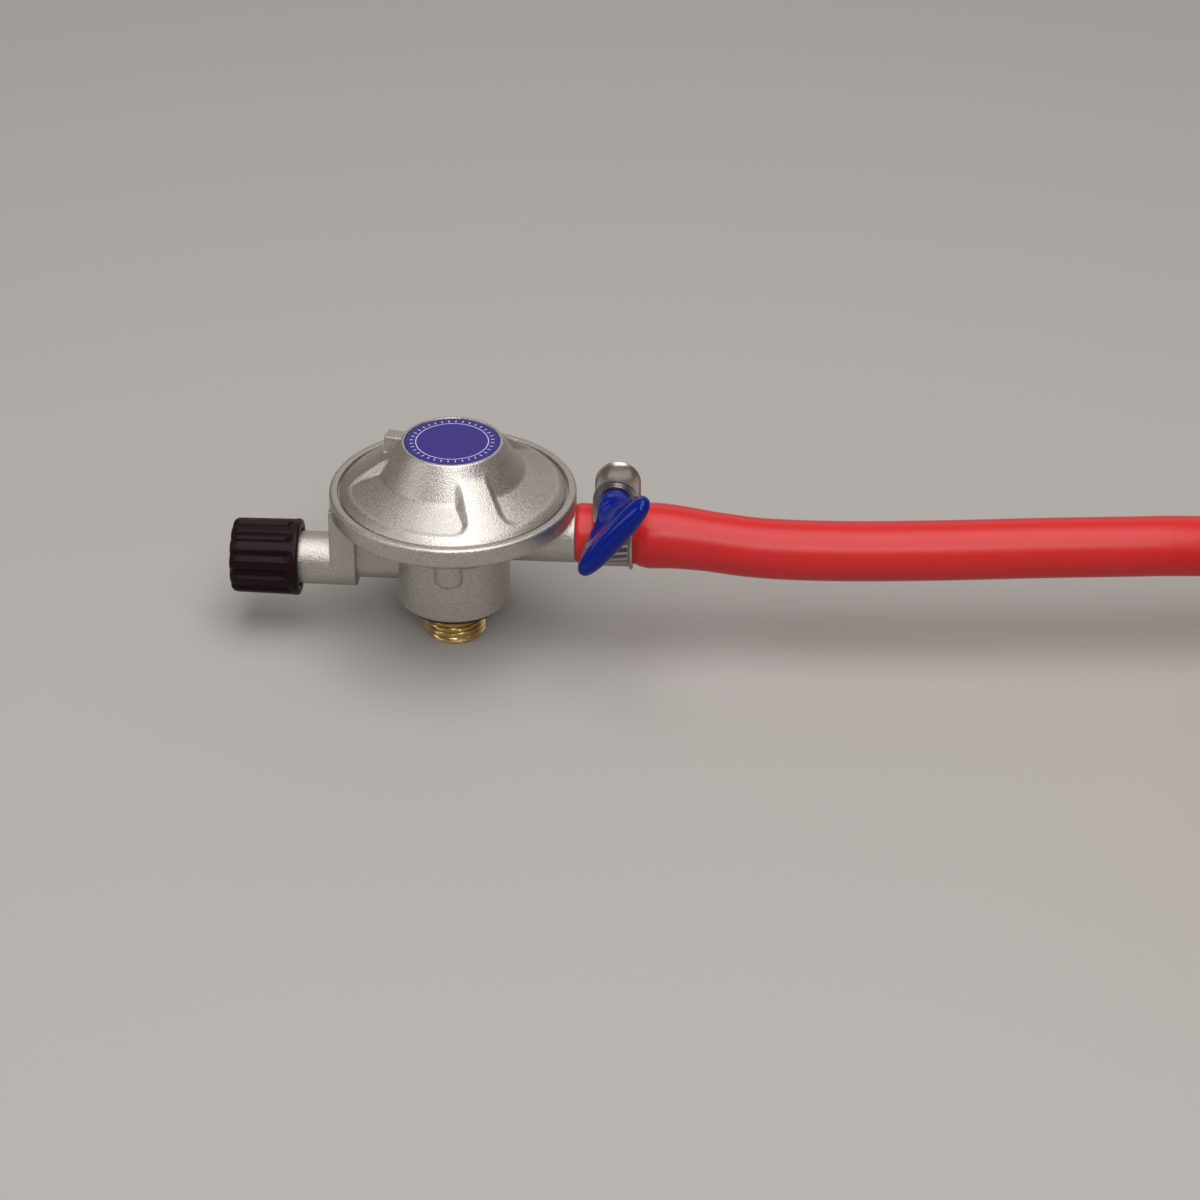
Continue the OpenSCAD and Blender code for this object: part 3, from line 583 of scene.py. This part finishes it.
def dress(piece, material, body, cad_node, angle=35):
    piece.data.materials.clear()
    piece.data.materials.append(material)
    shade(piece, angle)
    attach(piece, body)
    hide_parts(cad_node)
    print(piece.name, "faces:", len(piece.data.polygons))


# %% [markdown]
# A bar that isn't round is a flat outline pushed along X. Solids are then joined, or cut, with
# Boolean modifiers, which leave one closed skin without hidden walls inside.

# %% Skins and bars
MERGE, BEVEL_STEPS, BEVEL_ANGLE, ARC_STEPS = 0.004, 3, 40, 24


def face_outwards(piece):
    """Merges points that all but coincide, and turns every face outwards."""
    mesh = bmesh.new()
    mesh.from_mesh(piece.data)
    bmesh.ops.remove_doubles(mesh, verts=mesh.verts, dist=MERGE * MM)
    bmesh.ops.recalc_face_normals(mesh, faces=mesh.faces)
    mesh.to_mesh(piece.data)
    mesh.free()
    return piece


def skin_of(name, rings):
    """A closed skin over rings of equally many points."""
    count, last = len(rings[0]), (len(rings) - 1) * len(rings[0])
    faces = [(i + k, i + (k + 1) % count, i + count + (k + 1) % count, i + count + k)
             for i in range(0, last, count) for k in range(count)]
    ends = [tuple(range(count))[::-1], tuple(range(last, last + count))]
    return face_outwards(new_piece(name, sum(rings, []), (), faces + ends))


def bar(name, outline, x_from, x_to, edge):
    """Pushes a closed outline of (y, z) from one x to another and bevels the edges."""
    piece = skin_of(name, [[Vector((x, y, z)) * MM for y, z in outline] for x in (x_from, x_to)])
    bevel = piece.modifiers.new("edges", "BEVEL")
    bevel.width = edge * MM
    bevel.segments = BEVEL_STEPS
    bevel.angle_limit = math.radians(BEVEL_ANGLE)
    return plain_mesh(piece)


def u_outline(half, axis_z, top):
    """A U: straight sides above, round below."""
    arc = [(half * math.cos(a), axis_z + half * math.sin(a))
           for a in (math.pi * (1 + k / ARC_STEPS) for k in range(ARC_STEPS + 1))]
    return [(-half, top), *arc, (half, top)]


# %% Joined solids
def combine(base, others, operation):
    """Joins other solids to a base, or cuts them out of it, and removes them."""
    for other in others:
        boolean = base.modifiers.new("boolean", "BOOLEAN")
        boolean.operation = operation
        boolean.solver = "MANIFOLD"
        boolean.object = other
    plain_mesh(base)
    for other in others:
        bpy.data.objects.remove(other)
    return base


# %% [markdown]
# ## Body
#
# The lower casting is a round pan with a rolled rim, a boss below it, a block and a web that
# carry the shut-off spindle, and an arm with the nozzle. Each is its own simple solid with
# rounded edges, and Boolean modifiers join them. The barbs on the nozzle hold the hose.

# %% Lower body
SPINDLE = (0, 0, 20.4)
BOSS_R, BOSS_LOW, RIM_R, RIM_LOW, RIM_TOP, RIM_IN = 14.7, 11, 31.9, 37.5, 42.9, 29.7
BLOCK_HALF, WEB_HALF, NECK_FROM, NECK_TO = 6.9, 4.6, 31, 41.5
ARM_R, ARM_FROM, ARM_TO = 7.7, 10, 32
NOZZLE_R, NOZZLE_TO, BARB_R, BARB_LENGTH, BARBS = 4.2, 54, 4.9, 2.6, (38, 51)

pan = lathe("lower_body_skin", rounded([
    (0, BOSS_LOW), (BOSS_R, BOSS_LOW, 0.6), (BOSS_R, 27.2, 1.4), (29.2, 37.4, 1.0),
    (RIM_R, RIM_LOW, 2.2), (RIM_R, RIM_TOP, 2.3), (RIM_IN, RIM_TOP, 0.9), (RIM_IN, 42.0),
    (0, 42.0)]), sides=160)
lug = placed(lathe("lug", rounded([(0, 21.9), (4, 21.9, 1.6), (4, 31), (0, 31)]), sides=40),
             at=(0, -12.7, 0))
block = bar("block", u_outline(BLOCK_HALF, SPINDLE[2], top=38.2), -31.7, -25, edge=0.5)
web = bar("web", u_outline(WEB_HALF, SPINDLE[2], top=35.5), -25.6, -12, edge=0.3)
neck_outline = [(0, NECK_FROM), (BLOCK_HALF, NECK_FROM), (BLOCK_HALF, NECK_TO, 0.4), (0, NECK_TO)]
neck = placed(lathe("neck", rounded(neck_outline), sides=64), ALONG_MINUS_X, SPINDLE)
arm_outline = [(0, ARM_FROM), (ARM_R, ARM_FROM), (ARM_R, ARM_TO, 0.6), (NOZZLE_R, ARM_TO)]
for barb in BARBS:
    arm_outline += [(NOZZLE_R, barb), (BARB_R, barb), (NOZZLE_R, barb + BARB_LENGTH)]
arm_outline += [(NOZZLE_R, NOZZLE_TO), (0, NOZZLE_TO)]
arm = placed(lathe("arm", rounded(arm_outline), sides=64), ALONG_X, OUTLET)
combine(pan, [lug, block, web, neck, arm], "UNION")
print("solid body faces:", len(pan.data.polygons))

# %% [markdown]
# The real casting is hollow. The cavity under the diaphragm is open to the bonnet, the chamber
# of the shut-off valve is bored in from the left, and gas leaves by the way through the arm.
# The feed joins the chamber to the socket that the inlet stub is pressed in. Each hollow is a
# solid of its own, a little longer than it has to be, so that no two surfaces coincide.

# %% Hollow the body
CHAMBER_R, GAS_WAY_R, FEED_R, SOCKET_R = 4.6, 2.9, 2, 6
cavity = lathe("cavity", [(0, 29.2), (13.2, 29.2), (26.9, 38.7), (30.4, 38.7), (30.4, 41.5),
                          (RIM_IN, 41.5), (RIM_IN, 45), (0, 45)], sides=160)
chamber = placed(lathe("chamber", rod(CHAMBER_R, 26.2, 43), sides=48), ALONG_MINUS_X, SPINDLE)
gas_way = placed(lathe("gas_way", rod(GAS_WAY_R, 14, 55), sides=32), ALONG_X, OUTLET)
feed = placed(lathe("feed", rod(FEED_R, -1, 27), sides=24), ALONG_MINUS_X, SPINDLE)
socket = lathe("socket", [(0, 10), (SOCKET_R, 10), (SOCKET_R, 17.5), (FEED_R, 17.5),
                          (FEED_R, SPINDLE[2]), (0, SPINDLE[2])], sides=32)
face_outwards(combine(pan, [cavity, chamber, gas_way, feed, socket], "DIFFERENCE"))
dress(pan, zinc, "regulator", "lower_body")

# %% [markdown]
# ## Bonnet
#
# The bonnet is a dome with a flat-topped hub. Three spokes run down from the hub to the rim,
# with shallow pockets between them. Such a casting is one height for each place seen from
# above, so the top is a fine polar grid whose height follows a rule: the dome where a spoke
# is, the pocket's floor where a pocket is, and a soft step between. The rule for the pocket's
# edge is the distance to a rounded sector, negative inside.

# %% Edge of the pockets
SPOKES = np.radians([-65, 55, 175])
CREASE_R, CREASE_Z, DOME_R = 15.2, 53.29, 29.2
SPOKE_R, SPOKE_HALF = (CREASE_R, 26.3), (4, 5)
POCKET_R, POCKET_CORNER = 27.0, 3.8


def pocket_edge(x, y):
    """Distance to the nearest pocket's edge in millimetres, negative inside a pocket."""
    radius, angle = np.hypot(x, y), np.arctan2(y, x)
    half_spoke = np.interp(radius, SPOKE_R, SPOKE_HALF)
    beside = np.full_like(radius, np.inf)
    for spoke in SPOKES:
        turn = (angle - spoke + np.pi) % math.tau - np.pi
        across = np.where(np.abs(turn) < np.pi / 2, np.abs(radius * np.sin(turn)), np.inf)
        beside = np.minimum(beside, across - half_spoke)
    outer, side = radius - POCKET_R + POCKET_CORNER, POCKET_CORNER - beside
    inside = np.minimum(np.maximum(outer, side), 0)
    return inside + np.hypot(np.maximum(outer, 0), np.maximum(side, 0)) - POCKET_CORNER


# %% Height of the bonnet
HUB_TOP, HUB_R, HUB_SLOPE = 56.7, 13, 1.55
CREASE_BLEND, FLOOR_BLEND, HUB_BLEND = 0.7, 0.5, 0.35
DROP_R, DROP_OVER, DROP = 27.2, 2, 0.45  # the dome bends down beside the rim
FLOOR_R, FLOOR_Z, FLOOR_SLOPE = 18.5, 48.17, 0.46
WALL_AT, WALL, WALL_GROWTH = 0.95, 0.85, 0.12  # a deeper wall is a little wider


def soft_max(a, b, blend):
    """The larger of two values, with a rounded meeting."""
    near = np.clip(0.5 + 0.5 * (a - b) / blend, 0, 1)
    return b + (a - b) * near + blend * near * (1 - near)


def bonnet_height(x, y):
    """Height of the bonnet's top over a place, in millimetres."""
    radius = np.hypot(x, y)
    hub_side = HUB_TOP - HUB_SLOPE * (radius - HUB_R)
    dome = CREASE_Z - (CREASE_Z - RIM_TOP) / (DOME_R - CREASE_R) * (radius - CREASE_R)
    drop = DROP * (np.clip(radius - DROP_R, 0, None) / DROP_OVER) ** 2
    dome = soft_max(hub_side, dome, CREASE_BLEND) - drop
    floor = soft_max(hub_side, FLOOR_Z - FLOOR_SLOPE * (radius - FLOOR_R), FLOOR_BLEND)
    depth = np.maximum(dome - floor, 0)
    wall = WALL + WALL_GROWTH * depth
    step = np.clip((WALL_AT - pocket_edge(x, y)) / (2 * wall), 0, 1)
    height = dome - depth * step * step * (3 - 2 * step)
    return -soft_max(-height, -HUB_TOP, HUB_BLEND)


# %% [markdown]
# The lathe makes the whole bonnet first, with a flat plate for its top. Then the points of the
# top, which follow one another in the mesh, get their heights from the rule, all at once.

# %% Bonnet
BONNET_SIDES, PLATE_Z = 600, 50
hub_bore = [(10.6, 49.3), (10.6, 55.4), (12.16, 55.4), (12.16, 56.45)]
top_radii = [12.35, 12.55, 12.75, *np.arange(12.95, 28.9, 0.19), 29.0, 29.1]
underside = [(29.1, 41.5), (30.3, 41.5), (30.3, 39.95), (26.9, 39.95), (26.9, 41.6), (16.5, 45.2)]
bonnet_outline = hub_bore + [(r, PLATE_Z) for r in top_radii] + underside
bonnet = lathe("bonnet_skin", bonnet_outline, BONNET_SIDES, closed=True)

points = np.zeros(len(bonnet.data.vertices) * 3)
bonnet.data.vertices.foreach_get("co", points)
points = points.reshape(-1, 3)
top_from = len(hub_bore) * BONNET_SIDES
top = slice(top_from, top_from + len(top_radii) * BONNET_SIDES)
points[top, 2] = bonnet_height(points[top, 0] / MM, points[top, 1] / MM) * MM
bonnet.data.vertices.foreach_set("co", points.ravel())
face_outwards(bonnet)
print("points on the bonnet's top:", len(points[top]))

# %% [markdown]
# Beside the hub stands a small nub with a foot. A real one hides a breather hole, which lets
# the air above the diaphragm in and out. Two bevelled bars are enough for it.

# %% Vent nub beside the hub
NUB_TURN, NUB_EDGE = 167, 0.35


def nub_part(reach_from, reach_to, half, low_z, high_z):
    """A bar beside the hub, from one distance to another from the axis."""
    outline = [(-half, low_z), (half, low_z), (half, high_z), (-half, high_z)]
    part = bar("nub", outline, reach_from, reach_to, NUB_EDGE)
    return placed(part, Matrix.Rotation(math.radians(NUB_TURN), 4, "Z"))


combine(bonnet, [nub_part(12.6, 17.8, 2.1, 50.5, 56.2), nub_part(17, 18.3, 2.4, 49.0, 51.8)], "UNION")
dress(bonnet, zinc, "regulator", "bonnet", angle=50)

# %% [markdown]
# The blue disc closes the hub over the adjusting screw. It is a flat turned plug with its top
# edge rounded, and it carries the printed finish.

# %% Disc in the hub
DISC_R, DISC_LOW, DISC_TOP = 12.1, 55.45, 56.6
disc_outline = [(0, DISC_LOW), (DISC_R, DISC_LOW), (DISC_R, DISC_TOP, 0.3), (0, DISC_TOP)]
disc = lathe("disc_skin", rounded(disc_outline))
dress(disc, SLOT_FINISH["blue_disc"], "regulator", "cover_disc")

# %% [markdown]
# ## Grooves that repeat
#
# The knob has twelve grooves along it, the clamp's band has slanted ones across it, and the
# thread of the inlet is one groove that winds round and round. One tree makes all three: it
# counts grooves round the Z axis, lets them drift with height, and pushes the skin inwards
# where a groove is. A power of 2 gives a round valley and a power of 1 gives a V. The skin
# needs fine steps for it, so an outline is split by the helper called fine beforehand.

# %% Tree that presses grooves
def groove_tree():
    """Presses grooves in what is turned round Z, between two heights and outside a radius."""
    sizes = dict(Count=1, Drift=0.0, Depth=0.001, Share=0.5, Power=2.0, From=0.0, To=1.0,
                 Fade=0.001, Outside=0.0, Finish=zinc)
    tree, size, result = new_tree("grooves_round_an_axis", **sizes)
    place = node(tree, "GeometryNodeInputPosition", {})
    x, y, z = parts_of(tree, place.outputs[0])
    phase = y.sum("ARCTAN2", x) * size["Count"] / math.tau + z * size["Drift"]
    valley = phase.sum("PINGPONG", 0.5) / (size["Share"] * 0.5)
    valley = (valley.sum("MINIMUM", 1.0).sum("POWER", size["Power"]) * -1.0) + 1.0
    radius = (x * x + y * y).sum("SQRT")
    inside_ends = (z.ramp(size["From"], size["From"] + size["Fade"])
                   * z.ramp(size["To"] - size["Fade"], size["To"], 1.0, 0.0))
    press = valley * inside_ends * radius.sum("GREATER_THAN", size["Outside"]) * size["Depth"]
    share = press / radius.sum("MAXIMUM", TINY) * -1.0
    push = node(tree, "ShaderNodeCombineXYZ", {"X": x * share, "Y": y * share})
    noted = node(tree, "GeometryNodeStoreNamedAttribute",
                 {"Geometry": size["Geometry"], "Name": "groove", "Value": press / size["Depth"]},
                 data_type="FLOAT", domain="POINT")
    moved = node(tree, "GeometryNodeSetPosition",
                 {"Geometry": Field(tree, noted.outputs[0]), "Offset": Field(tree, push.outputs[0])})
    end_tree(tree, result, Field(tree, moved.outputs[0]), size["Finish"])
    return tree


grooves = groove_tree()
print("nodes in the groove tree:", len(grooves.nodes))

# %% [markdown]
# ## Knob
#
# The knob is a dark plastic cup over the end of the neck. Its outline is turned, and the
# grooves leave a plain ring at the inner end, as on the real one. Twelve round cutters could
# make the grooves too, but their edges would be sharp, and moulded ones are soft.

# %% Knob
KNOB_FROM, KNOB_TO, KNOB_R, CUP_R, CUP_FLOOR = 39.9, 57.8, 10, 7.6, 46.9
SCREW_HEAD_R, SCREW_HEAD_FROM, SCREW_HOLE_R, SHAFT_R, SHAFT_END = 3.7, 56.2, 1.6, 3.02, 53.8
knob_outline = rounded([
    (CUP_R, KNOB_FROM, 0.3), (KNOB_R, KNOB_FROM, 0.9), (9.75, KNOB_TO, 1.9),
    (SCREW_HEAD_R, KNOB_TO, 0.4), (SCREW_HEAD_R, SCREW_HEAD_FROM), (SCREW_HOLE_R, SCREW_HEAD_FROM),
    (SCREW_HOLE_R, SHAFT_END), (SHAFT_R, SHAFT_END), (SHAFT_R, CUP_FLOOR), (CUP_R, CUP_FLOOR, 0.5)])
knob = lathe("knob_skin", fine(knob_outline, step=0.7), sides=288, closed=True)
run_tree(knob, grooves, Count=12, Depth=0.85 * MM, Share=0.56, Power=2.0, From=42 * MM,
         To=70 * MM, Fade=0.5 * MM, Outside=7.75 * MM, Finish=knob_plastic)
placed(knob, ALONG_MINUS_X, SPINDLE)
dress(knob, knob_plastic, "knob_group", "knob", angle=40)

# %% [markdown]
# ## Hose clamp
#
# A steel band goes round the hose. A screw lies across it in a bent housing, and its thread
# bites into slanted grooves in the band. A blue wing key on the screw turns it by hand. The
# clamp is built round the X axis, and then placed twice: on the nozzle and at the hose's
# free end, where the second one waits for the stove.

# %% Band
BAND_IN, BAND_R, LIP_R, BAND_HALF, LIP_FROM, FLAT_HALF = 7.46, 8.25, 8.9, 4.5, 3.8, 3.4


def band(name):
    """The band, with a raised lip along each edge and slanted grooves between."""
    outline = rounded([(BAND_IN, -BAND_HALF), (LIP_R, -BAND_HALF, 0.25), (LIP_R, -LIP_FROM, 0.3),
                       (BAND_R, -FLAT_HALF, 0.2), (BAND_R, FLAT_HALF, 0.2), (LIP_R, LIP_FROM, 0.3),
                       (LIP_R, BAND_HALF, 0.25), (BAND_IN, BAND_HALF)])
    piece = lathe(name, fine(outline, step=0.45), sides=360, closed=True)
    run_tree(piece, grooves, Count=24, Drift=60.0, Depth=0.5 * MM, Share=0.62, Power=2.0,
             From=-FLAT_HALF * MM, To=FLAT_HALF * MM, Fade=0.5 * MM, Outside=7.8 * MM, Finish=steel)
    return placed(piece, ALONG_X)


# %% Housing
SCREW_RISE = 12.9
HOUSING_R, HOUSING_HALF, HOUSING_FOOT = 5.3, 5.0, 5.9
SEAT_R, TUNNEL_R, TUNNEL_HALF, MOUTH_R = 8.0, 4.05, 3.8, 4.3


def housing(name):
    """The bent housing: an arch along the screw, flared at both ends and open below."""
    stations = [(-HOUSING_HALF, 0.55), (-4.75, 0.6), (-4.3, 0.25), (-3.8, 0),
                (3.8, 0), (4.3, 0.25), (4.75, 0.6), (HOUSING_HALF, 0.55)]
    rings = []
    for along_screw, flare in stations:
        reach = HOUSING_R + flare
        arch = [(reach * math.cos(a), SCREW_RISE + reach * math.sin(a))
                for a in (math.pi * k / ARC_STEPS for k in range(ARC_STEPS + 1))]
        outline = [(reach, HOUSING_FOOT), *arch, (-reach, HOUSING_FOOT)]
        rings.append([Vector((x, along_screw, z)) * MM for x, z in outline])
    piece = skin_of(name, rings)
    tunnel = lathe("tunnel", [(0, -7), (5.0, -7), (MOUTH_R, -4.2), (TUNNEL_R, -TUNNEL_HALF),
                              (TUNNEL_R, TUNNEL_HALF), (MOUTH_R, 4.2), (5.0, 7), (0, 7)], sides=48)
    placed(tunnel, ALONG_MINUS_Y, (0, 0, SCREW_RISE))
    seat = placed(lathe("seat", rod(SEAT_R, -9, 9)), ALONG_X)
    return combine(piece, [tunnel, seat], "DIFFERENCE")


# %% [markdown]
# The key is moulded: a round neck that grows wider and flatter, sags in the middle and ends
# in a thick bead between two lobes. Sculpting a block could give that, but a table is easier
# to change: each station gives a half width, a half thickness and a squareness, and a smooth
# curve through the stations makes the skin.

# %% Wing key
KEY_ANGLE, KEY_SIDES, KEY_STEPS = 53, 56, 5
KEY_STATIONS = [  # reach from the hose's middle, half width, half thickness, squareness, sideways
    (6.0, 3.5, 3.5, 2.0, 0), (6.25, 3.95, 3.95, 2.0, 0), (6.8, 4.2, 4.2, 2.0, 0),
    (9.6, 4.25, 4.25, 2.0, 0), (10.6, 4.9, 3.9, 2.05, 0), (11.6, 6.3, 3.0, 2.2, -0.4),
    (12.8, 8.0, 2.4, 2.4, -1.2), (15.0, 10.1, 1.9, 2.7, -1.5), (17.8, 11.9, 1.75, 2.9, -0.9),
    (20.4, 13.2, 2.0, 2.9, 0.1), (22.2, 13.7, 2.5, 2.8, 0.7), (23.8, 13.9, 2.95, 2.7, 1.1),
    (25.1, 13.8, 3.1, 2.6, 1.2), (26.3, 13.2, 2.85, 2.5, 1.2), (27.2, 12.2, 2.2, 2.4, 1.2),
    (27.8, 10.8, 1.3, 2.3, 1.2), (27.95, 9.2, 0.6, 2.1, 1.2)]


def hermite(values, place):
    """A smooth value between the stations."""
    slopes = np.gradient(values)
    i = min(int(place), len(values) - 2)
    t = place - i
    return ((2 * t ** 3 - 3 * t ** 2 + 1) * values[i] + (t ** 3 - 2 * t ** 2 + t) * slopes[i]
            + (3 * t ** 2 - 2 * t ** 3) * values[i + 1] + (t ** 3 - t ** 2) * slopes[i + 1])


def key(name):
    """The wing key, along the screw and turned a little round it."""
    last = len(KEY_STATIONS) - 1
    steps = np.linspace(0, last, KEY_STEPS * last + 1)
    columns = [[hermite(column, s) for s in steps] for column in np.transpose(KEY_STATIONS)]
    rings = []
    for reach, wide, thick, square, sideways in zip(*columns):
        ring = []
        for k in range(KEY_SIDES):
            turn = math.tau * k / KEY_SIDES
            x, z = (size * math.copysign(abs(v) ** (2 / square), v)
                    for size, v in ((wide, math.cos(turn)), (thick, math.sin(turn))))
            ring.append(Vector((x + sideways, -reach, z)) * MM)
        rings.append(ring)
    turned = Matrix.Rotation(math.radians(-KEY_ANGLE), 4, "Y")
    return placed(skin_of(name, rings), turned, (0, 0, SCREW_RISE))


# %% [markdown]
# Both clamps are the same three pieces, so one loop makes them at two places. The pieces of
# the second one have the same names with end_ before them, in this script and in the CAD.

# %% Place both clamps
CLAMP_AT, END_CLAMP_REACH = (42.3, 0, 30.8), 15
end_clamp_at = tuple(end_start + END_CLAMP_REACH * end_way)
for prefix, where, heading in (("", CLAMP_AT, 0), ("end_", end_clamp_at, end_heading)):
    turn = Matrix.Rotation(heading, 4, "Z")
    key_body = prefix + "clamp_key_group"
    for made, material, body, slot_name, cad in (
            (band(prefix + "band_skin"), steel, "regulator", "steel", "clamp_band"),
            (housing(prefix + "housing_skin"), steel, "regulator", "steel", "clamp_housing"),
            (key(prefix + "key_skin"), key_plastic, key_body, "blue_plastic", "clamp_key")):
        dress(placed(made, turn, where), material, body, prefix + cad, angle=40)

# %% [markdown]

# %% [markdown]
# ## Inlet
#
# A short brass pipe with an outside thread screws into the bottle. Above the thread is a
# plain run-out, and a flat rubber ring seals against the bottle's valve. The thread is one
# groove that climbs by its pitch in each turn.

# %% Inlet thread and seal
THREAD_R, THREAD_PITCH, THREAD_DEPTH, THREAD_END = 8, 1.5, 0.92, 8.4
PIPE_R, PIPE_IN, PIPE_STEP, PIPE_TOP = 7.2, 3, 6, 17
stub_outline = rounded([
    (PIPE_IN, 0, 0.2), (7.1, 0, 0.1), (THREAD_R, 0.9, 0.1), (THREAD_R, THREAD_END, 0.1),
    (PIPE_R, 8.7, 0.1), (PIPE_R, BOSS_LOW), (PIPE_STEP, BOSS_LOW), (PIPE_STEP, PIPE_TOP),
    (PIPE_IN, PIPE_TOP)])
stub = lathe("stub_skin", fine(stub_outline, step=0.16), closed=True)
run_tree(stub, grooves, Count=1, Drift=-1 / (THREAD_PITCH * MM), Depth=THREAD_DEPTH * MM,
         Share=0.88, Power=1.0, From=-1 * MM, To=8.9 * MM, Fade=0.7 * MM, Outside=7.25 * MM,
         Finish=brass)
dress(stub, brass, "regulator", "inlet_stub", angle=30)

SEAL_IN, SEAL_R, SEAL_LOW = 8.06, 12.6, 9
seal_outline = [(SEAL_IN, SEAL_LOW, 0.2), (SEAL_R, SEAL_LOW, 0.6), (SEAL_R, BOSS_LOW, 0.5),
                (SEAL_IN, BOSS_LOW)]
seal = lathe("seal_skin", rounded(seal_outline), closed=True)
dress(seal, rubber, "regulator", "inlet_seal")

# %% [markdown]
# ## Diaphragm and spring
#
# Inside, a rubber diaphragm is held by its edge. Gas lifts its middle, which presses the main
# spring together. The spring is a wire round a spiral, from Geometry Nodes.

# %% Tree that winds a spring
def spring_tree():
    """Sweeps a wire along a spiral of constant radius."""
    sizes = dict(Turns=4.0, Radius=0.008, Height=0.01, Wire=0.001, Finish=steel)
    tree, size, result = new_tree("wire_round_a_spiral", **sizes)
    spiral = node(tree, "GeometryNodeCurveSpiral",
                  {"Resolution": 32, "Rotations": size["Turns"], "Start Radius": size["Radius"],
                   "End Radius": size["Radius"], "Height": size["Height"], "Reverse": False})
    circle = node(tree, "GeometryNodeCurvePrimitiveCircle", {"Resolution": 12, "Radius": size["Wire"]})
    wire = node(tree, "GeometryNodeCurveToMesh",
                {"Curve": Field(tree, spiral.outputs[0]),
                 "Profile Curve": Field(tree, circle.outputs[0]), "Fill Caps": True})
    end_tree(tree, result, Field(tree, wire.outputs[0]), size["Finish"])
    return tree


# %% Spring
SPRING_LOW, SPRING_HIGH, SPRING_R, SPRING_WIRE, SPRING_TURNS = 40.2, 50.5, 7.6, 0.8, 4.0
spring = new_piece("spring_skin", [(0, 0, 0)])
run_tree(spring, spring_tree(), Turns=SPRING_TURNS, Radius=SPRING_R * MM,
         Height=(SPRING_HIGH - SPRING_LOW) * MM, Wire=SPRING_WIRE * MM, Finish=steel)
placed(spring, at=(0, 0, SPRING_LOW))
dress(spring, steel, "regulator", "main_spring", angle=60)
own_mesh(spring)

# %% Diaphragm
SHEET_LOW, SHEET_TOP, SHEET_IN, SHEET_R = 37.1, 39.9, 1.46, 30.3
under = [(SHEET_IN, SHEET_LOW), (15.5, SHEET_LOW, 2), (18.5, 38.0, 2), (23.4, 38.3, 2),
         (26.9, 38.7, 1), (SHEET_R, 38.7)]
over = [(SHEET_R, SHEET_TOP), (26.6, SHEET_TOP, 1), (23.4, 39.5, 2), (18.5, 39.2, 2),
        (15.5, 38.3, 2), (SHEET_IN, 38.3)]
sheet = lathe("diaphragm_skin", rounded(under + over), closed=True)
dress(sheet, rubber, "regulator", "diaphragm", angle=50)
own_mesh(sheet)

# %% [markdown]
# ## Pieces that stay as they are
#
# The works inside, the screws and the spindle keep their CAD shapes. Each gets the finish of
# the slot that the record gives it.

# %% Finishes on the CAD's own pieces
slot_of = {part["node"]: part["material_slot"] for part in frame["record"]["subparts"]}
kept = [name for name, piece in frame["nodes"].items() if not piece.hide_render]
for name in kept:
    mesh = frame["nodes"][name].data
    mesh.materials.clear()
    mesh.materials.append(SLOT_FINISH[slot_of[name]])
print("CAD pieces kept:", len(kept))

# %% [markdown]
# ## Floor and light
#
# A pale floor and a warm pale sky give the metal something calm to mirror. Five flat lamps
# work like the soft boxes of a studio: two at the left and in front, a big one above the
# camera, one straight above, which brightens what faces up, and one behind. The room is much
# larger than the object, so its floor and lamps are in metres.

# %% Floor
FLOOR_HALF = 30
floor_paint = finish("pale_floor", (0.38, 0.365, 0.35), roughness=0.9, spread=0.0, grain=30, bump=0.0)
floor_corners = [(x * FLOOR_HALF, y * FLOOR_HALF, 0) for x, y in ((-1, -1), (1, -1), (1, 1), (-1, 1))]
floor = new_piece("floor", floor_corners, (), [(0, 1, 2, 3)])
floor.data.materials.append(floor_paint)

# %% Sky and lamps
SKY_COLOUR, SKY_STRENGTH = (1.0, 0.85, 0.74, 1), 0.2
LAMPS = {  # where it hangs, where it points, its width and height, its watts
    "left_box": ((-1.1, -0.5, 0.6), (0, 0, 0.03), (0.5, 0.7), 2.4),
    "front_box": ((0.22, -1.2, 0.95), (0, 0, 0.03), (0.6, 0.4), 5.4),
    "top_box": ((0.15, -0.5, 1.25), (0.03, 0, 0), (1.2, 1.0), 12.5),
    "high_box": ((0.05, 0.15, 0.9), (0, 0, 0.03), (0.6, 0.4), 2.1),
    "back_box": ((0.25, 1.5, 0.75), (0, 0, 0.03), (2.2, 0.9), 3)}

world = bpy.data.worlds.new("sky")
scene.world = world
world.use_nodes = True
sky = world.node_tree.nodes["Background"]
sky.inputs["Color"].default_value = SKY_COLOUR
sky.inputs["Strength"].default_value = SKY_STRENGTH
for name, (where, toward, (width, height), watts) in LAMPS.items():
    lamp = bpy.data.lights.new(name, "AREA")
    lamp.shape = "RECTANGLE"
    lamp.size = width
    lamp.size_y = height
    lamp.energy = watts
    holder = bpy.data.objects.new(name, lamp)
    holder.location = where
    holder.rotation_euler = (Vector(toward) - Vector(where)).to_track_quat("-Z", "Y").to_euler()
    scene.collection.objects.link(holder)
scene.view_settings.view_transform = "Standard"
print("lamps:", len(LAMPS), "with", round(sum(watts for *_, watts in LAMPS.values()), 1), "watts")
